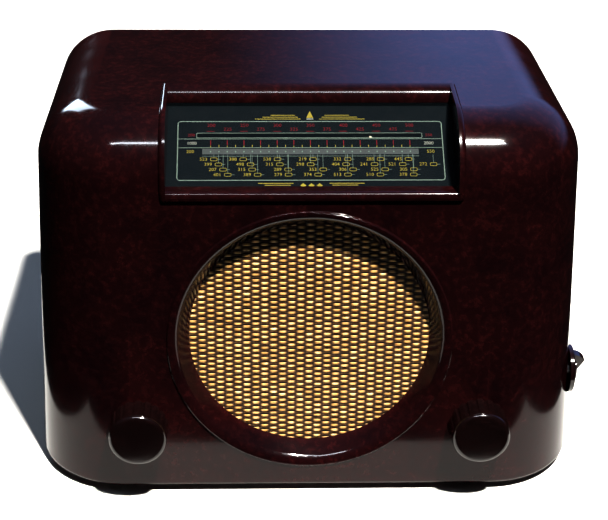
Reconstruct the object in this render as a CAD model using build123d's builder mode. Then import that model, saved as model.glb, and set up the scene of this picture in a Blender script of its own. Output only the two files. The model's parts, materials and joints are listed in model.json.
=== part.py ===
"""Moulded table radio: one-piece cabinet, slanted dial in a hood, round speaker opening.

The source is written with the cabinet's middle plane at x = 0, the foot of the front face at
y = 0 and the table at z = 0, in millimetres. Every piece is moved by TO_ORIGIN when it is
written, so the parts share a frame whose origin is the bottom centre of the whole object.
"""
import os
from math import acos, atan2, cos, degrees, radians, sin, sqrt, tan

from build123d import *

# ---- cabinet moulding
WIDTH = 312.0
TOP_WIDTH = 296.5
HEIGHT = 220.0
DEPTH = 195.0
FOOT = 4.5
WALL = 3.5
LEAN = 3.7
FALL = 4.2
CORNER_R = 51.0
ROLL_R = 33.0
BASE_EDGE_R = 2.5
FIT = 0.3
PLAY = 0.04

# ---- speaker opening, measured on the leaning front face
SPEAKER_UP = 92.0
RING_R = 79.0
RING_STEP = 1.2
RING_EDGE_R = 1.0
BELL_R = 6.3
BELL_IN = 67.0
BELL_TILT = 56.0
RING_BACK = 10.2
CLOTH_T = 0.8
BAFFLE_T = 4.0
BAFFLE_W = 172.0
BAFFLE_H = 164.0
BAFFLE_BOLT_X = 77.0
BAFFLE_BOLT_UP = 73.0

# ---- dial hood and dial
HOOD_HALF = 81.0
WELL_HALF = 77.4
WELL_SKIN = 3.0
DIAL_Y = 18.7
DIAL_Z = 185.9
DIAL_RISE = 31.9
DIAL_LENGTH = 54.2
RAIL_TOP = 222.4
RAIL_BEAD_R = 7.5
RAIL_FLAT = 74.0
RAIL_BACK = 81.0
RAIL_SINK = 3.6
HOOD_PROUD = RAIL_TOP - HEIGHT
HOOD_FOOT = 181.5
HOOD_END_R = 2.6
SILL_NOSE = 10.0
SILL_R = 2.6
GLASS_T = 2.5
GLASS_GAP = 0.1
GLASS_LEDGE = 2.6
GLASS_SEAT = 0.9
PLATE_DROP = 9.0
PLATE_T = 1.0

# ---- controls
KNOB_X = 95.5
KNOB_Z = 46.0
KNOB_R = 16.5
KNOB_FRONT = -15.5
KNOB_REAR = 0.8
FLUTES = 18
SHAFT_R = 3.175
SHAFT_GAP = 2.0
WAVE_Y = 46.0
WAVE_Z = 54.0
WAVE_R = 14.0
WAVE_SINK = 1.2
WAVE_PROUD = 1.4
WAVE_FIN = 8.2
WAVE_FIN_T = 6.0

# ---- cord drive
CORD_Y = 59.6
BELT_Y = 63.2
CORD_R = 0.5
CORD_GAP = 0.3
DRUM_X = 72.0
DRUM_Z = 90.0
DRUM_R = 37.0
DRUM_RIM = 39.0
DRUM_FRONT = 57.4
DRUM_W = 8.0
GROOVE_W = 2.8
PULLEY_R = 6.0
PULLEY_RIM = 7.6
PULLEY_W = 4.0
LEFT_PULLEY_X = -78.0
LOWER_PULLEY_Z = 174.6
POINTER_X = 33.0
RAIL_Y = 66.1
RAIL_Z = 199.0
RAIL_R = 1.25

# ---- chassis
SHEET = 1.2
DECK_Z = 40.0
CHASSIS_FLOOR = 12.0
CHASSIS_HALF = 138.0
CHASSIS_FRONT = 84.0
CHASSIS_BACK = 176.5
BRACKET_Y = 66.0

TO_ORIGIN = Location((-3.2, -89.75, 0))

os.makedirs("parts", exist_ok=True)


def hand_in(piece, label):
    """Move a finished piece into the shared frame and write it."""
    piece.part.label = label
    placed = piece.part.moved(TO_ORIGIN)
    placed.label = label
    export_step(placed, f"parts/{label}.step")


def facing_front(y):
    """Plane at depth y, looking out of the front."""
    return Plane.XZ.offset(-y)


def front_y(z):
    """Depth of the leaning front face at height z."""
    return (z - FOOT) * tan(radians(LEAN))


def half_width(z):
    """Half the outside width at height z."""
    return WIDTH / 2 - (WIDTH - TOP_WIDTH) / 2 * (z - FOOT) / (HEIGHT - FOOT)


SIDE_X = half_width(WAVE_Z)
ROLL_Z = HEIGHT - ROLL_R
ROLL_Y = front_y(ROLL_Z) + ROLL_R

lean_cos = cos(radians(LEAN))
lean_sin = sin(radians(LEAN))
FRONT = Plane(origin=(0, 0, FOOT), x_dir=(1, 0, 0), z_dir=(0, -lean_cos, lean_sin))
SPEAKER = Plane(FRONT.from_local_coords((0, SPEAKER_UP, 0)), x_dir=(1, 0, 0), z_dir=FRONT.z_dir)
SPEAKER_SECTION = Plane(SPEAKER.origin, x_dir=(1, 0, 0), z_dir=-SPEAKER.y_dir)
SPEAKER_AXIS = Axis(SPEAKER.origin, SPEAKER.z_dir)

rise_cos = cos(radians(DIAL_RISE))
rise_sin = sin(radians(DIAL_RISE))
DIAL = Plane(origin=(0, DIAL_Y, DIAL_Z), x_dir=(1, 0, 0), z_dir=(0, -rise_sin, rise_cos))


def moulding(inset, open_back):
    """The cabinet's outer form, shrunk by inset, running open_back past the back edge."""
    base = FOOT + inset
    back = DEPTH + open_back
    front_base = front_y(base) + inset / lean_cos
    top = HEIGHT - inset
    front_top = front_y(top) + inset / lean_cos
    fall = tan(radians(FALL))
    back_top = top - (back - ROLL_Y) * fall
    front_rise = top + (ROLL_Y - front_top) * fall
    with BuildPart() as form:
        with BuildSketch(Plane.YZ):
            Polygon((front_base, base), (back, base), (back, back_top), (front_top, front_rise), align=None)
        extrude(amount=WIDTH / 2, both=True)
        with BuildSketch(Plane.XZ):
            foot_half = half_width(base) - inset
            top_half = half_width(HEIGHT + ROLL_R) - inset
            Polygon((-foot_half, base), (foot_half, base), (top_half, HEIGHT + ROLL_R),
                    (-top_half, HEIGHT + ROLL_R), align=None)
        extrude(amount=back + DEPTH, both=True, mode=Mode.INTERSECT)
        uprights = form.edges().filter_by(lambda e: abs(e.tangent_at(0.5).Z) > 0.9)
        fillet(uprights.filter_by(lambda e: e.center().Y < DEPTH / 2), CORNER_R - inset)
        top_face = form.faces().sort_by(Axis.Z)[-1]
        fillet(top_face.edges().sort_by(Axis.Y)[:-1], ROLL_R - inset)
        if inset == 0:
            base_face = form.faces().sort_by(Axis.Z)[0]
            fillet(base_face.edges().sort_by(Axis.Y)[:-1], BASE_EDGE_R)
    return form.part


def dial_point(along, above):
    """Depth and height of a point on the dial's section, from its lower edge up the slope."""
    return (DIAL_Y + along * rise_cos - above * rise_sin, DIAL_Z + along * rise_sin + above * rise_cos)


outer = moulding(0, 0)
inner = moulding(WALL, 1)
BASE_TOP = FOOT + WALL
BACK_SCREWS = [(-143, 18), (143, 18), (-130, 193), (130, 193)]
FEET = [(-128, 42), (128, 42), (-128, 176), (128, 176)]
CHASSIS_BOLTS = [(-118, 98), (118, 98), (-118, 160), (118, 160)]

# ---- hood: a raised frame that follows the rolled edge, with a rail above the top
with BuildPart() as hood:
    with BuildSketch(Plane.YZ):
        with Locations((ROLL_Y, ROLL_Z)):
            Circle(ROLL_R + HOOD_PROUD)
        Polygon((ROLL_Y, HOOD_FOOT), (ROLL_Y, RAIL_TOP), (RAIL_FLAT, RAIL_TOP), (RAIL_BACK, HEIGHT - RAIL_SINK),
                (RAIL_BACK, HOOD_FOOT), align=None)
        with Locations((ROLL_Y, HOOD_FOOT)):
            Rectangle(ROLL_R * 3, ROLL_R * 3, align=(Align.CENTER, Align.MAX), mode=Mode.SUBTRACT)
    extrude(amount=HOOD_HALF, both=True)
    ends = hood.faces().filter_by(Axis.X)
    fillet(ends.edges(), HOOD_END_R)

# ---- well: solid walls from the outside skin down to the dial glass
with BuildPart() as well:
    with BuildSketch(Plane.YZ):
        low = dial_point(-2 * WELL_SKIN, -GLASS_T - GLASS_SEAT)
        high = dial_point(DIAL_LENGTH + 2 * WELL_SKIN, -GLASS_T - GLASS_SEAT)
        Polygon(low, high, (high[0], 2 * HEIGHT), (-CORNER_R, 2 * HEIGHT), (-CORNER_R, low[1]), align=None)
    extrude(amount=HOOD_HALF + WELL_SKIN, both=True)
    add(outer + hood.part, mode=Mode.INTERSECT)

with BuildPart() as cabinet:
    add(outer)
    add(hood.part)
    add(inner, mode=Mode.SUBTRACT)
    add(well.part)
    # dial recess, with a bullnosed sill below and a rounded rail above
    with BuildSketch(Plane.YZ):
        with BuildLine():
            sill = dial_point(0, 0)
            under_rail = dial_point(DIAL_LENGTH, 0)
            nose_low = (SILL_NOSE, sill[1] - SILL_R)
            nose_high = (SILL_NOSE + SILL_R, sill[1])
            bead_low = (under_rail[0], RAIL_TOP - RAIL_BEAD_R)
            bead_high = (under_rail[0] + RAIL_BEAD_R, RAIL_TOP)
            Polyline(nose_low, (-CORNER_R, nose_low[1]), (-CORNER_R, 2 * HEIGHT),
                     (bead_high[0], 2 * HEIGHT), bead_high)
            RadiusArc(bead_low, bead_high, RAIL_BEAD_R)
            Polyline(bead_low, under_rail, sill, nose_high)
            RadiusArc(nose_low, nose_high, SILL_R)
        make_face()
    extrude(amount=WELL_HALF, both=True, mode=Mode.SUBTRACT)
    # rebate that takes the glass from inside
    with BuildSketch(DIAL.offset(-3 * GLASS_T)):
        with Locations((0, DIAL_LENGTH / 2)):
            Rectangle(2 * (WELL_HALF + GLASS_LEDGE + FIT), DIAL_LENGTH + 2 * (GLASS_LEDGE + FIT))
    extrude(amount=3 * GLASS_T, mode=Mode.SUBTRACT)
    # speaker opening and its bell-mouthed ring
    with BuildSketch(SPEAKER):
        Circle(RING_R - RING_EDGE_R / 2)
    extrude(amount=3 * WALL, both=True, mode=Mode.SUBTRACT)
    with BuildSketch(SPEAKER_SECTION):
        with BuildLine():
            rim = (RING_R, RING_STEP - RING_EDGE_R)
            crest = (RING_R - RING_EDGE_R, RING_STEP)
            flank = (crest[0] - BELL_R * sin(radians(BELL_TILT)),
                     crest[1] - BELL_R * (1 - cos(radians(BELL_TILT))))
            RadiusArc(rim, crest, -RING_EDGE_R)
            RadiusArc(crest, flank, -BELL_R)
            Polyline(flank, (BELL_IN, -RING_BACK), (RING_R + WALL, -RING_BACK),
                     (RING_R + WALL, RING_STEP - WALL), (RING_R, RING_STEP - WALL), rim)
        make_face()
    revolve(axis=SPEAKER_AXIS)
    # baffle bosses
    with BuildSketch(SPEAKER.offset(-RING_BACK - CLOTH_T)):
        with Locations((-BAFFLE_BOLT_X, -BAFFLE_BOLT_UP), (BAFFLE_BOLT_X, -BAFFLE_BOLT_UP),
                       (-BAFFLE_BOLT_X, BAFFLE_BOLT_UP), (BAFFLE_BOLT_X, BAFFLE_BOLT_UP)):
            Circle(4.5)
    extrude(amount=RING_BACK + CLOTH_T - WALL + 0.5)
    # back lugs
    with BuildPart(mode=Mode.PRIVATE) as lugs:
        with BuildSketch(facing_front(DEPTH - 4)):
            with Locations(*BACK_SCREWS):
                Rectangle(20, 20)
        extrude(amount=14)
        add(outer, mode=Mode.INTERSECT)
    add(lugs.part)
    with BuildSketch(facing_front(DEPTH)):
        with Locations(*BACK_SCREWS):
            Circle(1.25)
    extrude(amount=16, mode=Mode.SUBTRACT)
    # shaft openings
    with BuildSketch(facing_front(CORNER_R)):
        with Locations((-KNOB_X, KNOB_Z), (KNOB_X, KNOB_Z)):
            Circle(SHAFT_R + SHAFT_GAP)
    extrude(amount=2 * CORNER_R, mode=Mode.SUBTRACT)
    with BuildSketch(Plane.YZ.offset(WIDTH / 2 - CORNER_R)):
        with Locations((WAVE_Y, WAVE_Z)):
            Circle(SHAFT_R + SHAFT_GAP)
    extrude(amount=CORNER_R, mode=Mode.SUBTRACT)
    with BuildSketch(Plane.YZ.offset(SIDE_X - WAVE_SINK - 2 * FIT)):
        with Locations((WAVE_Y, WAVE_Z)):
            Circle(WAVE_R + 3 * FIT)
    extrude(amount=CORNER_R, mode=Mode.SUBTRACT)
    # base: chassis bolt holes and vents
    with BuildSketch():
        with Locations(*CHASSIS_BOLTS):
            Circle(2.3)
        with Locations((0, 135)):
            with GridLocations(16, 46, 10, 2):
                SlotOverall(34, 7, rotation=90)
    extrude(amount=BASE_TOP + 1, mode=Mode.SUBTRACT)
hand_in(cabinet, "cabinet")

with BuildPart() as feet:
    with Locations(*[(x, y, 0) for x, y in FEET]):
        Cone(8, 9, FOOT, align=(Align.CENTER, Align.CENTER, Align.MIN))
hand_in(feet, "feet")

# ---- back cover with vents, frame aerial, lead grommet and socket strip
COVER_Y = DEPTH - 1
COVER_T = 3.0
GROMMET = (-104, 28)
SOCKETS = (92, 30)
with BuildPart() as back_cover:
    with BuildSketch(facing_front(COVER_Y)):
        Rectangle(2 * WIDTH, 4 * HEIGHT)
    extrude(amount=COVER_T)
    add(moulding(WALL + FIT, 2), mode=Mode.INTERSECT)
    with BuildSketch(facing_front(COVER_Y)):
        with Locations(*BACK_SCREWS):
            Circle(1.9)
        with Locations(GROMMET):
            Circle(6.0)
        with Locations(SOCKETS):
            Rectangle(38, 14)
        with Locations((0, 166)):
            with GridLocations(13, 17, 14, 2):
                SlotOverall(14, 5, rotation=90)
        with Locations((0, 105)):
            with GridLocations(13, 17, 14, 4):
                Circle(3)
        with Locations((0, 34)):
            with GridLocations(13, 10, 9, 2):
                SlotOverall(8, 5, rotation=90)
    extrude(amount=COVER_T, mode=Mode.SUBTRACT)
hand_in(back_cover, "back_cover")

with BuildPart() as back_cover_screws:
    with BuildSketch(facing_front(COVER_Y)):
        with Locations(*BACK_SCREWS):
            Circle(1.2)
    extrude(amount=13)
    with BuildSketch(facing_front(COVER_Y)):
        with Locations(*BACK_SCREWS):
            Circle(3.6)
            Rectangle(4.4, 0.9, mode=Mode.SUBTRACT)
    extrude(amount=-0.9)
    with BuildSketch(facing_front(COVER_Y)):
        with Locations(*BACK_SCREWS):
            Circle(3.6)
    extrude(amount=-0.3)
hand_in(back_cover_screws, "back_cover_screws")

AERIAL_Y = COVER_Y - COVER_T
with BuildPart() as frame_aerial:
    with BuildSketch(facing_front(AERIAL_Y)):
        with Locations((0, 118)):
            RectangleRounded(232, 150, 16)
            RectangleRounded(206, 124, 10, mode=Mode.SUBTRACT)
    extrude(amount=1.6)
hand_in(frame_aerial, "frame_aerial")

with BuildPart() as mains_grommet:
    with BuildSketch(facing_front(COVER_Y + 0.9)):
        with Locations(GROMMET):
            Circle(8)
    extrude(amount=0.9)
    with BuildSketch(facing_front(COVER_Y)):
        with Locations(GROMMET):
            Circle(6.0 - 0.02)
    extrude(amount=COVER_T)
    with BuildSketch(facing_front(COVER_Y - COVER_T)):
        with Locations(GROMMET):
            Circle(8)
    extrude(amount=1.2)
    with BuildSketch(facing_front(COVER_Y + 0.9)):
        with Locations(GROMMET):
            Circle(3.2)
    extrude(amount=COVER_T + 3, mode=Mode.SUBTRACT)
hand_in(mains_grommet, "mains_grommet")

with BuildPart() as socket_strip:
    with BuildSketch(facing_front(COVER_Y - COVER_T)):
        with Locations(SOCKETS):
            Rectangle(46, 20)
    extrude(amount=2)
    with BuildSketch(facing_front(COVER_Y - 0.6)):
        with Locations(SOCKETS):
            with GridLocations(13, 1, 2, 1):
                Circle(4.2)
    extrude(amount=6)
    with BuildSketch(facing_front(COVER_Y)):
        with Locations(SOCKETS):
            with GridLocations(13, 1, 2, 1):
                Circle(2.0)
    extrude(amount=7, mode=Mode.SUBTRACT)
hand_in(socket_strip, "socket_strip")

# ---- dial: glass, its clips, the printed plate behind it and two lamps
with BuildPart() as dial_glass:
    with BuildSketch(DIAL.offset(-GLASS_T - GLASS_GAP)):
        with Locations((0, DIAL_LENGTH / 2)):
            Rectangle(2 * (WELL_HALF + GLASS_LEDGE), DIAL_LENGTH + 2 * GLASS_LEDGE)
    extrude(amount=GLASS_T)
hand_in(dial_glass, "dial_glass")

CLIPS = [(-WELL_HALF, 9), (WELL_HALF, 9), (-WELL_HALF, 45), (WELL_HALF, 45)]
CLIP_TOP = -GLASS_T - GLASS_SEAT
with BuildPart() as glass_clips:
    with BuildSketch(DIAL.offset(CLIP_TOP - 0.8)):
        for x, along in CLIPS:
            with Locations((x + 2 * (1 if x > 0 else -1), along)):
                Rectangle(8, 8)
    extrude(amount=0.8)
    with BuildSketch(DIAL.offset(CLIP_TOP - 0.8)):
        for x, along in CLIPS:
            with Locations((x + 4.8 * (1 if x > 0 else -1), along)):
                Circle(1.8)
    extrude(amount=-1.2)
hand_in(glass_clips, "glass_clips")

PLATE_LENGTH = 39.0
LAMPS = [(-60, 17), (60, 17)]
with BuildPart() as dial_backplate:
    with BuildSketch(DIAL.offset(-PLATE_DROP)):
        with Locations((0, PLATE_LENGTH / 2)):
            Rectangle(2 * WELL_HALF - 4, PLATE_LENGTH)
        with Locations(*LAMPS):
            Circle(6.5, mode=Mode.SUBTRACT)
    extrude(amount=PLATE_T)
    with BuildSketch(DIAL.offset(-PLATE_DROP)):
        for side in (-1, 1):
            with Locations((side * (WELL_HALF - 2), PLATE_LENGTH / 2)):
                Rectangle(PLATE_T, PLATE_LENGTH - 26)
    extrude(amount=PLATE_DROP - GLASS_T - GLASS_SEAT)
    with BuildSketch(DIAL.offset(CLIP_TOP - 0.8)):
        for side in (-1, 1):
            with Locations((side * (WELL_HALF + 1.75), PLATE_LENGTH / 2 + 6)):
                Rectangle(8.5, 12)
    extrude(amount=0.8)
hand_in(dial_backplate, "dial_backplate")

with BuildPart() as lamp_holders:
    with BuildSketch(DIAL.offset(-PLATE_DROP)):
        with Locations(*LAMPS):
            Rectangle(17, 19)
            Circle(6.5, mode=Mode.SUBTRACT)
    extrude(amount=-0.8)
    with BuildSketch(DIAL.offset(-PLATE_DROP)):
        for x, along in LAMPS:
            with Locations((x, along + 8.6)):
                Rectangle(12, 1.2)
    extrude(amount=-20)
    with BuildSketch(DIAL.offset(-PLATE_DROP - 12)):
        with Locations(*LAMPS):
            Circle(6.4)
            with Locations((0, 5)):
                Rectangle(8, 8)
    extrude(amount=-8)
    with BuildSketch(DIAL.offset(-PLATE_DROP - 10)):
        with Locations(*LAMPS):
            Circle(4.7)
    extrude(amount=-8, mode=Mode.SUBTRACT)
hand_in(lamp_holders, "lamp_holders")

with BuildPart() as dial_lamps:
    with BuildSketch(DIAL.offset(-PLATE_DROP - 17.8)):
        with Locations(*LAMPS):
            Circle(4.66)
    extrude(amount=9)
    for x, along in LAMPS:
        with Locations(DIAL.offset(-PLATE_DROP - 4.5) * Location((x, along, 0))):
            Sphere(5.2)
hand_in(dial_lamps, "dial_lamps")

# ---- dial frame: strip that carries the pulleys and the pointer rail on two legs
LEG_X = 132.5
wrap = CORD_GAP + CORD_R
drum_wrap = DRUM_R + wrap
pulley_wrap = PULLEY_R + wrap
spindle_wrap = SHAFT_R + wrap
PULLEY_Z = LOWER_PULLEY_Z + 2 * pulley_wrap
LOWER_PULLEY_X = DRUM_X - drum_wrap - pulley_wrap
RIGHT_PULLEY_X = DRUM_X + drum_wrap - pulley_wrap
PULLEYS = {"pulley_left": (LEFT_PULLEY_X, PULLEY_Z), "pulley_right": (RIGHT_PULLEY_X, PULLEY_Z),
           "pulley_lower": (LOWER_PULLEY_X, LOWER_PULLEY_Z)}
FRAME_Y = RAIL_Y - SHEET / 2
with BuildPart() as dial_frame:
    with BuildSketch(facing_front(FRAME_Y + SHEET)):
        with Locations((0, 180)):
            Rectangle(2 * LEG_X + 10, 25)
        with GridLocations(2 * LEG_X, 1, 2, 1):
            with Locations((0, DECK_Z + SHEET)):
                Rectangle(10, 150, align=(Align.CENTER, Align.MIN))
        with GridLocations(44, 1, 5, 1):
            with Locations((0, 176)):
                Circle(4, mode=Mode.SUBTRACT)
    extrude(amount=SHEET)
    for lug_x in (-88.8, 87.2):
        with BuildSketch(Plane.YZ.offset(lug_x)):
            with Locations((FRAME_Y, RAIL_Z - 11)):
                Rectangle(4, 14.5, align=(Align.MIN, Align.MIN))
            with Locations((RAIL_Y + 0.8, RAIL_Z)):
                Circle(3.4)
            with Locations((RAIL_Y, RAIL_Z)):
                Circle(RAIL_R, mode=Mode.SUBTRACT)
        extrude(amount=1.6)
    with BuildSketch(Plane.XY.offset(DECK_Z + SHEET)):
        with GridLocations(2 * LEG_X, 1, 2, 1):
            with Locations((0, FRAME_Y)):
                Rectangle(10, 34, align=(Align.CENTER, Align.MIN))
    extrude(amount=SHEET)
    with BuildSketch(facing_front(FRAME_Y)):
        for x, z in PULLEYS.values():
            with Locations((x, z)):
                Circle(2.0)
    extrude(amount=FRAME_Y - CORD_Y + PULLEY_W / 2 + 0.4)
    with BuildSketch(facing_front(CORD_Y - PULLEY_W / 2 - 0.4)):
        for x, z in PULLEYS.values():
            with Locations((x, z)):
                Circle(3.2)
    extrude(amount=0.8)
hand_in(dial_frame, "dial_frame")

with BuildPart() as pointer_rail:
    with BuildSketch(Plane.YZ.offset(-92)):
        with Locations((RAIL_Y, RAIL_Z)):
            Circle(RAIL_R)
    extrude(amount=184)
hand_in(pointer_rail, "pointer_rail")


def pulley(label, x, z):
    """One grooved pulley on its pin."""
    with BuildPart() as wheel:
        with BuildSketch(facing_front(CORD_Y + PULLEY_W / 2)):
            with Locations((x, z)):
                Circle(PULLEY_RIM)
        extrude(amount=PULLEY_W)
        with BuildSketch(facing_front(CORD_Y + PULLEY_W / 2 - 0.6)):
            with Locations((x, z)):
                Circle(PULLEY_RIM + 1)
                Circle(PULLEY_R, mode=Mode.SUBTRACT)
        extrude(amount=PULLEY_W - 1.2, mode=Mode.SUBTRACT)
        with BuildSketch(facing_front(CORD_Y + PULLEY_W / 2)):
            with Locations((x, z)):
                Circle(2.0 + PLAY)
                with PolarLocations(4.2, 3):
                    Circle(0.9)
        extrude(amount=PULLEY_W, mode=Mode.SUBTRACT)
    hand_in(wheel, label)


for name, place in PULLEYS.items():
    pulley(name, *place)

# ---- pointer: carriage on the rail, needle bent over the plate and down the dial
NEEDLE_DROP = -5.6
with BuildPart() as pointer:
    with BuildSketch(facing_front(RAIL_Y + 3)):
        with Locations((POINTER_X, RAIL_Z + 0.3)):
            Rectangle(11, 5.2)
    extrude(amount=RAIL_Y + 3 - CORD_Y + 1.4)
    with BuildSketch(Plane.YZ.offset(POINTER_X - 8)):
        with Locations((RAIL_Y, RAIL_Z)):
            Circle(RAIL_R + PLAY)
    extrude(amount=16, mode=Mode.SUBTRACT)
    with BuildSketch(Plane.YZ.offset(POINTER_X - 0.6)):
        with BuildLine():
            Polyline((62.2, RAIL_Z), dial_point(47, NEEDLE_DROP), dial_point(1.5, NEEDLE_DROP))
        trace(line_width=0.9)
    extrude(amount=1.2)
hand_in(pointer, "pointer")

# ---- tuning drive: spindle, drum, gang capacitor
with BuildPart() as tuning_bracket:
    with BuildSketch(facing_front(BRACKET_Y + SHEET)):
        with Locations((KNOB_X + 4, BASE_TOP)):
            Rectangle(54, 56, align=(Align.CENTER, Align.MIN))
        with Locations((KNOB_X, KNOB_Z)):
            Circle(5, mode=Mode.SUBTRACT)
    extrude(amount=SHEET)
    with BuildSketch(Plane.XY.offset(BASE_TOP)):
        with Locations((KNOB_X + 4, BRACKET_Y)):
            Rectangle(54, CHASSIS_FRONT - BRACKET_Y, align=(Align.CENTER, Align.MIN))
    extrude(amount=SHEET)
    with BuildSketch(facing_front(CHASSIS_FRONT)):
        with Locations((KNOB_X + 4, BASE_TOP)):
            Rectangle(54, 14, align=(Align.CENTER, Align.MIN))
    extrude(amount=SHEET)
hand_in(tuning_bracket, "tuning_bracket")

SLEEVE_R = 5.0
with BuildPart() as spindle_bearing:
    with BuildSketch(facing_front(BRACKET_Y + 9)):
        with Locations((KNOB_X, KNOB_Z)):
            Circle(SLEEVE_R)
    extrude(amount=9 + 1)
    with BuildSketch(facing_front(BRACKET_Y + SHEET + 3)):
        with Locations((KNOB_X, KNOB_Z)):
            RegularPolygon(7.5, 6)
    extrude(amount=3)
    with BuildSketch(facing_front(BRACKET_Y + 12)):
        with Locations((KNOB_X, KNOB_Z)):
            Circle(SHAFT_R + PLAY)
    extrude(amount=14, mode=Mode.SUBTRACT)
hand_in(spindle_bearing, "spindle_bearing")

with BuildPart() as tuning_spindle:
    with BuildSketch(facing_front(BRACKET_Y + 13)):
        with Locations((KNOB_X, KNOB_Z)):
            Circle(SHAFT_R)
    extrude(amount=BRACKET_Y + 13 + 9)
    with BuildSketch(facing_front(BRACKET_Y + 12)):
        with Locations((KNOB_X, KNOB_Z)):
            Circle(SHAFT_R + 1.6)
    extrude(amount=1.5)
hand_in(tuning_spindle, "tuning_spindle")


def fluted_knob(x, label):
    """Round knob with a dished face and flutes round its rim."""
    with BuildPart() as knob:
        with BuildSketch(facing_front(KNOB_REAR)):
            with Locations((x, KNOB_Z)):
                Circle(KNOB_R)
        extrude(amount=KNOB_REAR - KNOB_FRONT, taper=1.5)
        fillet(knob.faces().sort_by(Axis.Y)[0].edges(), 2.6)
        with BuildSketch(facing_front(KNOB_REAR)):
            with Locations((x, KNOB_Z)):
                with PolarLocations(KNOB_R + 0.5, FLUTES):
                    Circle(1.5)
        extrude(amount=KNOB_REAR - KNOB_FRONT - 2.4, mode=Mode.SUBTRACT)
        with BuildSketch(facing_front(KNOB_REAR)):
            with Locations((x, KNOB_Z)):
                Circle(KNOB_R - 3.6)
                Circle(SHAFT_R + 4.4, mode=Mode.SUBTRACT)
        extrude(amount=10, mode=Mode.SUBTRACT)
        with BuildSketch(facing_front(KNOB_REAR)):
            with Locations((x, KNOB_Z)):
                Circle(SHAFT_R)
        extrude(amount=KNOB_REAR + 9, mode=Mode.SUBTRACT)
        with BuildSketch(Plane.XY.offset(KNOB_Z - KNOB_R - 1)):
            with Locations((x, -5)):
                Circle(1.7)
        extrude(amount=KNOB_R - SHAFT_R + 1, mode=Mode.SUBTRACT)
    hand_in(knob, label)


def knob_screw(x, label):
    """Slotted grub screw that bears on the shaft."""
    with BuildPart() as screw:
        with BuildSketch(Plane.XY.offset(KNOB_Z - 9)):
            with Locations((x, -5)):
                Circle(1.7)
        extrude(amount=9 - SHAFT_R)
        with BuildSketch(Plane.XY.offset(KNOB_Z - 9)):
            with Locations((x, -5)):
                Rectangle(2.4, 0.6)
        extrude(amount=0.8, mode=Mode.SUBTRACT)
    hand_in(screw, label)


fluted_knob(KNOB_X, "tuning_knob")
fluted_knob(-KNOB_X, "volume_knob")
knob_screw(KNOB_X, "tuning_knob_screw")
knob_screw(-KNOB_X, "volume_knob_screw")

GANG_FRONT = 72.0
GANG_BACK = 118.0
GANG_SHAFT_R = 3.0
with BuildPart() as drive_drum:
    with BuildSketch(facing_front(DRUM_FRONT + DRUM_W)):
        with Locations((DRUM_X, DRUM_Z)):
            Circle(DRUM_RIM)
    extrude(amount=DRUM_W)
    for groove_y in (CORD_Y, BELT_Y):
        with BuildSketch(facing_front(groove_y + GROOVE_W / 2)):
            with Locations((DRUM_X, DRUM_Z)):
                Circle(DRUM_RIM + 1)
                Circle(DRUM_R, mode=Mode.SUBTRACT)
        extrude(amount=GROOVE_W, mode=Mode.SUBTRACT)
    with BuildSketch(facing_front(DRUM_FRONT + DRUM_W - 2)):
        with Locations((DRUM_X, DRUM_Z)):
            Circle(DRUM_R - 2.5)
            Circle(8, mode=Mode.SUBTRACT)
    extrude(amount=DRUM_W, mode=Mode.SUBTRACT)
    with BuildSketch(facing_front(DRUM_FRONT + DRUM_W)):
        with Locations((DRUM_X, DRUM_Z)):
            Circle(GANG_SHAFT_R)
            with PolarLocations(21, 4, start_angle=84):
                Circle(7)
    extrude(amount=DRUM_W, mode=Mode.SUBTRACT)
hand_in(drive_drum, "drive_drum")

with BuildPart() as gang_frame:
    with BuildSketch(facing_front(GANG_BACK)):
        with Locations((DRUM_X, DRUM_Z - 2)):
            Rectangle(50, 52)
    extrude(amount=GANG_BACK - GANG_FRONT)
    with BuildSketch(facing_front(GANG_BACK - 1.6)):
        with Locations((DRUM_X, DRUM_Z)):
            Rectangle(46.8, 80)
    extrude(amount=GANG_BACK - GANG_FRONT - 3.2, mode=Mode.SUBTRACT)
    with BuildSketch(Plane.XY.offset(DRUM_Z - 28)):
        with Locations((DRUM_X, (GANG_FRONT + GANG_BACK) / 2)):
            Rectangle(50, GANG_BACK - GANG_FRONT)
    extrude(amount=1.6)
    with BuildSketch(facing_front(GANG_BACK)):
        with Locations((DRUM_X, DRUM_Z)):
            Circle(GANG_SHAFT_R + PLAY)
    extrude(amount=GANG_BACK - GANG_FRONT + 1, mode=Mode.SUBTRACT)
    with BuildSketch(Plane.XY.offset(DECK_Z + SHEET)):
        with Locations((DRUM_X, (GANG_FRONT + GANG_BACK) / 2 + 6)):
            with GridLocations(36, 20, 2, 2):
                Circle(4)
    extrude(amount=DRUM_Z - 28 - DECK_Z - SHEET)
hand_in(gang_frame, "gang_frame")

VANE_T = 0.6
VANE_PITCH = 2.2
VANE_R = 18.0
STATOR_R = 21.0
SECTIONS = [77.0, 98.0]
ROTOR_VANES = 7
with BuildPart() as gang_rotor:
    with BuildSketch(facing_front(GANG_BACK + 2)):
        with Locations((DRUM_X, DRUM_Z)):
            Circle(GANG_SHAFT_R)
    extrude(amount=GANG_BACK + 2 - DRUM_FRONT + 1)
    for start in SECTIONS:
        for index in range(ROTOR_VANES):
            with BuildSketch(facing_front(start + VANE_PITCH * (index + 0.5) + VANE_T)):
                with Locations((DRUM_X, DRUM_Z)):
                    Circle(VANE_R)
                    Rectangle(60, 30, align=(Align.CENTER, Align.MAX), mode=Mode.SUBTRACT, rotation=-141)
                    Circle(GANG_SHAFT_R + 2)
            extrude(amount=VANE_T)
hand_in(gang_rotor, "gang_rotor")

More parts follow.
